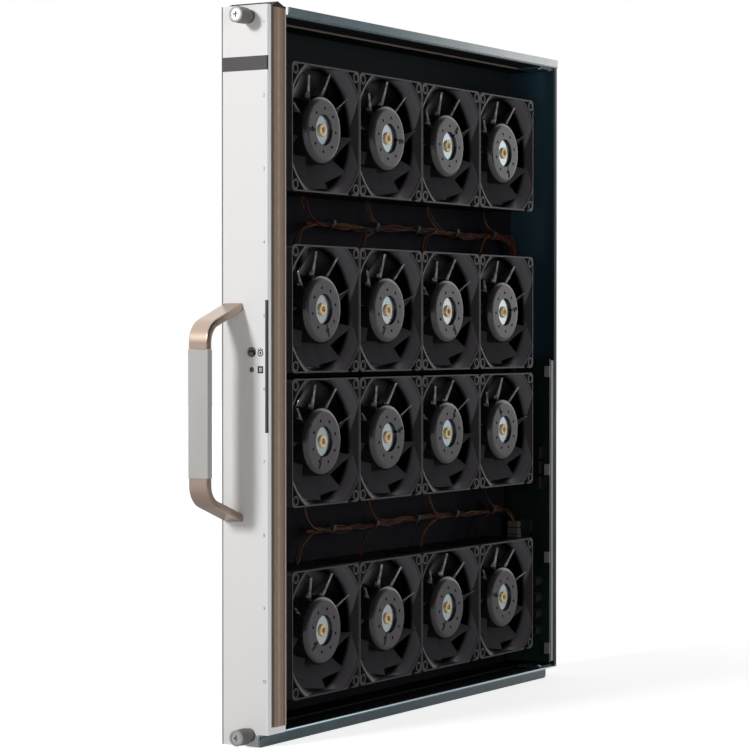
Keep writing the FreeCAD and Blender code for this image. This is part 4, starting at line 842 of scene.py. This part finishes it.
class TRAY_OT_captive_screws(bpy.types.Operator):
    """Captive screws and their springs"""

    bl_idname = "tray.captive_screws"
    bl_label = "Captive screws"

    def execute(self, context):
        for end in ("upper", "lower"):
            dress(knob_nickel, f"{end}_thumbscrew")
            dress(bright_zinc, f"{end}_screw_retainer")
            self.spring(end)
            dress(bright_zinc, f"{end}_screw_shank")
        # The ferrules take the knobs' darker side tone: painted shade at the base of the knobs.
        dress(knob_nickel, "screw_ferrules")
        return {"FINISHED"}

    def spring(self, end):
        """A coil spring copied from the part; the share of its length left at full push is worked out but not
        applied.
        """
        node, push = f"{end}_screw_spring", f"{end}_screw_push"
        low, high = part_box(node)
        coil = built(
            f"{end}_coil", lambda work: merged_copy(work, node), bright_zinc, [node])
        travel = next(j for j in frame["record"]["behaviour"]["joints"] if j["name"] == push)["range_m"][1]
        1 - travel / (high.y - low.y)
        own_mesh(coil)
        smooth(coil, joined=True)


class TRAY_OT_indicators(bpy.types.Operator):
    """Beacon button, status light and their board"""

    bl_idname = "tray.indicators"
    bl_label = "Indicators"

    def execute(self, context):
        dress(clear_button, "beacon_button")
        dress(lamp_lens, "status_light_pipe")
        dress(board_mask, "indicator_board")
        return {"FINISHED"}


HUB, BLADE, YOKE, BOSS, LEAD_HIGHLIGHT = range(5)
ROTOR_FINISHES = [hub_plastic, blade_plastic, yoke_steel, boss_brass, blade_edge_highlight]
BLADE_REACH, YOKE_REACH = 0.03, 0.01
PIT_DEPTH, MARK_DEPTH = 0.0003, 0.0008
LEAD_FACING, FLAT_FACING = 0.95, 0.99
EYE_RADIUS, EYE_RISE, EYE_FILLET, EYE_POINTS = 0.0095, 0.0009, 0.0004, 48


def from_axis(centre, point):
    """Distance of a point from a fan's axis."""
    return math.hypot(point.y - centre.y, point.z - centre.z)


def islands(work):
    """The faces of a bmesh, one connected shell after another."""
    left = set(work.faces)
    while left:
        island, queue = [], [left.pop()]
        while queue:
            face = queue.pop()
            island.append(face)
            for edge in face.edges:
                for other in edge.link_faces:
                    if other in left:
                        left.remove(other)
                        queue.append(other)
        yield island


class TRAY_OT_fans(bpy.types.Operator):
    """Fan frames and rotors; a rotor shows its moulding, steel yoke and brass boss"""

    bl_idname = "tray.fans"
    bl_label = "Fans"

    def execute(self, context):
        for tag in FAN_TAGS:
            dress(frame_plastic, f"fan_frame_{tag}")
            self.rotor(tag)
        dress(winding_copper, "fan_stators")
        dress(bright_zinc, "fan_bearings", "fan_screws")
        return {"FINISHED"}

    def rotor(self, tag):
        """The rotor's own mesh with its loose triangles joined, and a finish for each of its parts."""
        centre = fan_centre(tag)
        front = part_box(f"impeller_{tag}")[1].x
        mesh = bpy.data.meshes.new(f"rotor_{tag}")
        work = bmesh.new()
        merged_copy(work, f"impeller_{tag}")
        for island in islands(work):
            self.sort_faces(work, island, centre, front)
        along = self.mark_direction(work, centre, front)
        aside = Vector((0, -along.z, along.y))
        work.to_mesh(mesh)
        work.free()
        for name, measure in (("reach", lambda p: from_axis(centre, p)), ("depth", lambda p: front - p.x),
                              ("along", lambda p: (p - centre).dot(along)),
                              ("aside", lambda p: (p - centre).dot(aside))):
            kept = mesh.attributes.new(name, "FLOAT", "POINT")
            kept.data.foreach_set("value", [measure(v.co) for v in mesh.vertices])
        rotor = piece(
            f"rotor_{tag}", mesh, f"rotor_{tag}", ROTOR_FINISHES, [f"impeller_{tag}"])
        smooth(rotor, joined=True)

    def sort_faces(self, work, island, centre, front):
        """Sort one shell's faces by finish: the moulding with its blades, the yoke or the boss."""
        sizes = bpy.context.scene.tray_sizes
        reach = max(from_axis(centre, v.co) for f in island for v in f.verts)
        kind = HUB if reach > BLADE_REACH else YOKE if reach > YOKE_REACH else BOSS
        if kind == YOKE:
            self.raised_eye(work, centre, island)
        for face in island:
            spot = face.calc_center_median()
            out = Vector((0, spot.y - centre.y, spot.z - centre.z))
            blade = kind == HUB and out.length > sizes.hub_radius
            ahead = Vector((0, -out.z, out.y)).normalized()
            depth = front - spot.x
            # Faces at the blades' leading edges take the pale painted highlight.
            lead_highlight = blade and face.normal.dot(ahead) > LEAD_FACING and depth < sizes.lead_depth
            pit = kind == HUB and face.normal.x > FLAT_FACING and depth > PIT_DEPTH
            face.material_index = LEAD_HIGHLIGHT if lead_highlight else BLADE if blade or pit else kind

    def mark_direction(self, work, centre, front):
        """Direction from the axis to the shallow mark in the hub's face."""
        mark = Vector()
        for face in work.faces:
            spot = face.calc_center_median()
            if face.material_index == BLADE and PIT_DEPTH < front - spot.x < MARK_DEPTH:
                mark += Vector((0, spot.y - centre.y, spot.z - centre.z)) * face.calc_area()
        return mark.normalized()

    def raised_eye(self, work, centre, yoke):
        """The pressed middle of the yoke, standing up round the boss inside the hub's eye."""
        points = [v.co for f in yoke for v in f.verts]
        level = max(p.x for p in points)
        inner = min(from_axis(centre, p) for p in points)
        profile = ((inner, 0), (EYE_RADIUS, 0), (EYE_RADIUS, EYE_RISE - EYE_FILLET),
                   (EYE_RADIUS - EYE_FILLET, EYE_RISE), (inner, EYE_RISE))
        loops = [[work.verts.new((level + x, centre.y + u, centre.z + v))
                  for u, v in round_points(radius, EYE_POINTS)] for radius, x in profile]
        made = [face for i in range(len(loops)) for face in walls(work, loops[i - 1], loops[i])]
        bmesh.ops.recalc_face_normals(work, faces=made)
        for face in made:
            face.material_index = YOKE


TIE_START, TIE_PITCH, TIE_POINTS, LOCK_BEVEL = 0.028, 0.055, 24, 0.0003
LOCK_PLACE, LOCK_SIZE = Vector((0.0036, 0, 0.0012)), Vector((0.0022, 0.0036, 0.0030))


class TRAY_OT_electrics(bpy.types.Operator):
    """Control board, its parts, clips and connector, and the wiring"""

    bl_idname = "tray.electrics"
    bl_label = "Electrics"

    def execute(self, context):
        dress(board_mask, "control_board")
        dress(board_parts, "board_components")
        dress(clip_nylon, "board_clips")
        dress(connector_black, "rear_connector")
        self.wiring()
        built("board_strip", self.strip, strip_grey)
        return {"FINISHED"}

    def strip(self, work):
        """Channel that holds the board's long edge to the rear wall."""
        wall, lip, width, gap, margin = 0.0007, 0.0012, 0.0030, 0.0013, 0.001
        left, right = BOARD_HIGH.x - width, BOARD_HIGH.x + wall
        front, back = BOARD_HIGH.y, REAR_HIGH.y - gap
        shape = [
            (left, back), (right, back), (right, front), (right - lip, front), (right - lip, front + wall),
            (right - wall, front + wall), (right - wall, back - wall), (left, back - wall)]
        heights = (BOARD_LOW.z + margin, BOARD_HIGH.z - margin)
        ends = [[work.verts.new((x, y, z)) for x, y in shape] for z in heights]
        walls(work, *ends)
        for end in ends:
            work.faces.new(end)

    def wiring(self):
        """Loose wires of four colours along each bundle, with a lead to every fan, tied at intervals."""
        sizes = bpy.context.scene.tray_sizes
        meshes, ties = [], []
        x = (HARNESS_LOW.x + HARNESS_HIGH.x) / 2
        turn = HARNESS_HIGH.y - 0.0034
        half = (fan_centre("r1c2").y - fan_centre("r1c1").y) / 2
        for above, below, rise, foot in (("r1", "r2", sizes.upper_rise, sizes.upper_foot),
                                         ("r3", "r4", sizes.lower_rise, sizes.lower_foot)):
            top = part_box(f"fan_frame_{below}c1")[1].z
            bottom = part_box(f"fan_frame_{above}c1")[0].z
            height = top + rise
            first = fan_centre(f"{above}c1").y + 0.020
            run = [(x, first, height), (x, first + 0.07, height - 0.002), (x, first + 0.15, height + 0.001),
                   (x, first + 0.22, height - 0.002), (x, turn - 0.010, height), (x, turn, height - 0.010),
                   (x, turn, foot)]
            for index, maker in enumerate(WIRES):
                meshes.append(loose_wires([run], maker, 5 - index, index))
            for index, maker in enumerate(WIRES[:3]):
                paths = []
                for column in range(1, 5):
                    y = fan_centre(f"{above}c{column}").y + half * 0.4
                    paths.append([(x, y, bottom), (x, y + 0.001, bottom - 0.007),
                                  (x, y + 0.010, height + 0.002), (x, y + 0.026, height)])
                    y -= 0.008
                    paths.append([(x, y, top), (x, y + 0.001, top + 0.006),
                                  (x, y + 0.008, height - 0.003), (x, y + 0.022, height)])
                meshes.append(loose_wires(paths, maker, 1, 9 + index))
            ties += [(x, first + TIE_START + step * TIE_PITCH, height) for step in range(5)]
        piece("wire_loom", joined("wire_loom", meshes), TRAY, WIRES, ["wire_harness"])
        built("wire_ties", lambda work: self.rings(work, ties), tie_nylon)

    def rings(self, work, places):
        """Flat ties round the bundles, each with its lock."""
        inner, outer, half = 0.0032, 0.0038, 0.0011
        for place in map(Vector, places):
            loops = [[work.verts.new(place + Vector((u, y, v))) for u, v in round_points(radius, TIE_POINTS)]
                     for radius, y in ((inner, -half), (outer, -half), (outer, half), (inner, half))]
            for i in range(len(loops)):
                walls(work, loops[i - 1], loops[i])
            lock = bmesh.ops.create_cube(work, size=1)["verts"]
            for vert in lock:
                vert.co = place + LOCK_PLACE + vert.co * LOCK_SIZE
            edges = [e for e in work.edges if all(v in lock for v in e.verts)]
            bmesh.ops.bevel(work, geom=edges, offset=LOCK_BEVEL, segments=2, affect="EDGES")


@geometry_tree(
    "loose wires", ("Strands", "Int", 3), ("Spread", "Float", 0.003), ("Wire radius", "Float", 0.0005),
    ("Waves", "Float", 28.0), ("Seed", "Float", 0.0), ("Material", "Material", None))
def wire_tree(tree):
    """Strands that wander round a path, each a thin round wire."""
    def node(kind, inputs=None, output=0, **settings):
        return output_of(tree, kind, inputs, output, **settings)

    def count(operation, *values, kind="Math", **settings):
        return node(f"ShaderNode{kind}", dict(enumerate(values)), operation=operation, **settings)

    given = add_node(tree, "NodeGroupInput").outputs
    path = node("GeometryNodeResampleCurve", {"Curve": given["Geometry"], "Length": 0.004}, mode="LENGTH")
    copies = add_node(tree, "GeometryNodeDuplicateElements", {
        "Geometry": path, "Amount": given["Strands"]}, domain="SPLINE").outputs
    which = count("MULTIPLY_ADD", copies["Duplicate Index"], 3.7, given["Seed"])
    noise = node("ShaderNodeTexNoise", {
        "Vector": node("GeometryNodeInputPosition"), "W": which, "Scale": given["Waves"], "Detail": 1.0},
        "Color", noise_dimensions="4D")
    middle = count("SUBTRACT", noise, (0.5, 0.5, 0.5), kind="VectorMath")
    along = node("GeometryNodeSplineParameter", output="Factor")
    loose = count("MULTIPLY", along, count("SUBTRACT", 1.0, along))
    held = count("MULTIPLY_ADD", loose, 8.0, 0.3, use_clamp=True)
    reach = count("MULTIPLY", held, given["Spread"])
    shift = node("ShaderNodeVectorMath", {0: middle, "Scale": reach}, operation="SCALE")
    moved = node("GeometryNodeSetPosition", {"Geometry": copies[0], "Offset": shift})
    ring = node("GeometryNodeCurvePrimitiveCircle", {"Resolution": 6, "Radius": given["Wire radius"]})
    tube = node("GeometryNodeCurveToMesh", {"Curve": moved, "Profile Curve": ring, "Fill Caps": True})
    soft = node("GeometryNodeSetShadeSmooth", {"Geometry": tube})
    real = node("GeometryNodeRealizeInstances", {"Geometry": soft})
    coat = node("GeometryNodeSetMaterial", {"Geometry": real, "Material": given["Material"]})
    add_node(tree, "NodeGroupOutput", {"Geometry": coat})


def loose_wires(paths, maker, strands, seed):
    """Wires of one colour along smooth paths, as a plain mesh."""
    curve = bpy.data.curves.new("wires", "CURVE")
    curve.dimensions = "3D"
    for points in paths:
        line = curve.splines.new("NURBS")
        line.points.add(len(points) - 1)
        for point, place in zip(line.points, points):
            point.co = (*place, 1)
        line.order_u = 3
        line.use_endpoint_u = True
    holder = placed("wires", curve)
    tree = wire_tree()
    strand = holder.modifiers.new("wires", "NODES")
    strand.node_group = tree
    spread = bpy.context.scene.tray_sizes.loom_spread
    values = {"Strands": strands, "Spread": spread, "Seed": 11.0 * seed, "Material": maker()}
    for item in tree.interface.items_tree:
        if item.in_out == "INPUT" and item.name in values:
            strand[item.identifier] = values[item.name]
    mesh = baked(holder)
    mesh.polygons.foreach_set("material_index", [WIRES.index(maker)] * len(mesh.polygons))
    return mesh


MIDDLE = (0, 0, 0.23)
CAMERA_PLACE = (0.88737, -1.50433, 0.25087)
CAMERA_TURN, CAMERA_DIP = math.radians(31.05), math.radians(0.867)
CAMERA_LENS, SENSOR_WIDTH = 124.45, 36
FLOOR_GAP = 0.0002
AMBIENT, DARK_SIDE, PALE_SIDE = 0.10, 0.05, 1.5


def lamp(name, place, target, size, power):
    light = bpy.data.lights.new(name, "AREA")
    light.shape = "RECTANGLE"
    light.size, light.size_y = size
    light.energy = power
    holder = placed(name, light)
    holder.location = place
    holder.rotation_euler = (Vector(target) - Vector(place)).to_track_quat("-Z", "Y").to_euler()
    return holder


class TRAY_OT_stage(bpy.types.Operator):
    """Camera, floor, backdrop and lamps"""

    bl_idname = "tray.stage"
    bl_label = "Stage"

    def execute(self, context):
        scene = context.scene
        scene.view_settings.view_transform = "Standard"
        self.camera(scene)
        self.floor()
        self.world(scene)
        lamp("key", (-0.30, -1.35, 0.75), (0, -0.2, 0.25), (0.22, 0.22), 11.2)
        lamp("front", (0.75, -2.4, 0.05), MIDDLE, (0.4, 0.6), 7).visible_glossy = False
        lamp("side", (2.6, -0.6, 0.3), MIDDLE, (1.0, 1.2), 40).visible_glossy = False
        return {"FINISHED"}

    def camera(self, scene):
        data = bpy.data.cameras.new("camera")
        data.sensor_width = SENSOR_WIDTH
        data.sensor_fit = "HORIZONTAL"
        data.lens = CAMERA_LENS
        data.clip_end = 50
        holder = placed("camera", data)
        holder.location = CAMERA_PLACE
        ahead = math.cos(CAMERA_DIP)
        forward = Vector((
            -math.sin(CAMERA_TURN) * ahead, math.cos(CAMERA_TURN) * ahead, -math.sin(CAMERA_DIP)))
        holder.rotation_euler = forward.to_track_quat("-Z", "Y").to_euler()
        scene.camera = holder

    def floor(self):
        """Pale ground that is white to the camera a little way from the tray."""
        def build(work):
            bmesh.ops.create_grid(work, x_segments=2, y_segments=2, size=6)
        mesh = mesh_from("floor", build)
        made = Finish("floor", emission_strength=1.0)
        vector, x, y, _ = made.place()
        tone = made.mix(made.noise(vector, 30, 2), (0.60, 0.60, 0.60), (0.62, 0.62, 0.62))
        rays = add_node(made.tree, "ShaderNodeLightPath").outputs
        seen = Value(made, rays["Is Camera Ray"]) + Value(made, rays["Is Glossy Ray"]) * 0.25
        away = made.step(made.math("SQRT", x * x + y * y), 0.25, 0.9)
        glow = made.mix(away, (0.78, 0.78, 0.78), (1, 1, 1))
        made.done(base_color=tone, roughness=0.8, emission_color=made.mix(seen, (0, 0, 0), glow))
        mesh.materials.append(made.material)
        thing = placed("floor", mesh)
        thing.location.z = CAD_BOX[0][2] - FLOOR_GAP

    def world(self, scene):
        """White to the camera, dim to the tray, and a pale and a dark side in reflections."""
        world = bpy.data.worlds.new("studio")
        scene.world = world
        world.use_nodes = True
        tree = world.node_tree
        tree.nodes.clear()

        def light(level):
            return output_of(tree, "ShaderNodeBackground", {"Color": (1, 1, 1), "Strength": level})

        def blend(factor, first, second):
            return output_of(tree, "ShaderNodeMixShader", {0: factor, 1: first, 2: second})

        rays = add_node(tree, "ShaderNodeLightPath").outputs
        heading = output_of(tree, "ShaderNodeTexCoord", output="Generated")
        across = output_of(tree, "ShaderNodeVectorMath", {0: heading, 1: (-1, 0.6, 0)}, "Value",
                           operation="DOT_PRODUCT")
        side = output_of(tree, "ShaderNodeMapRange", {"Value": across, "From Min": -0.03, "From Max": 0.07},
                         interpolation_type="SMOOTHSTEP")
        mirrored = blend(side, light(DARK_SIDE), light(PALE_SIDE))
        seen = blend(rays["Is Glossy Ray"], light(AMBIENT), mirrored)
        for ray in ("Is Camera Ray", "Is Transmission Ray"):
            seen = blend(rays[ray], seen, light(1))
        add_node(tree, "ShaderNodeOutputWorld", {"Surface": seen})


class TRAY_PT_panel(bpy.types.Panel):
    """Buttons for the tray's steps, with its sizes and colours"""

    bl_idname = "TRAY_PT_panel"
    bl_label = "Fan tray"
    bl_space_type = "VIEW_3D"
    bl_region_type = "UI"
    bl_category = "Fan tray"

    def draw(self, context):
        for operator in OPERATORS:
            self.layout.operator(operator.bl_idname)
        for group in (context.scene.tray_sizes, context.scene.tray_colours):
            box = self.layout.box()
            for name in group.__annotations__:
                box.prop(group, name)


OPERATORS = (
    TRAY_OT_front_plate, TRAY_OT_gaskets, TRAY_OT_sheet_metal, TRAY_OT_handle, TRAY_OT_captive_screws,
    TRAY_OT_indicators, TRAY_OT_fans, TRAY_OT_electrics, TRAY_OT_stage,
)
CLASSES = (TraySizes, TrayColours, *OPERATORS, TRAY_PT_panel)


def register():
    for item in CLASSES:
        bpy.utils.register_class(item)
    bpy.types.Scene.tray_sizes = bpy.props.PointerProperty(type=TraySizes)
    bpy.types.Scene.tray_colours = bpy.props.PointerProperty(type=TrayColours)


def unregister():
    del bpy.types.Scene.tray_colours
    del bpy.types.Scene.tray_sizes
    for item in reversed(CLASSES):
        bpy.utils.unregister_class(item)


def main():
    register()
    for operator in OPERATORS:
        family, name = operator.bl_idname.split(".")
        getattr(getattr(bpy.ops, family), name)()


if __name__ == "__main__":
    main()
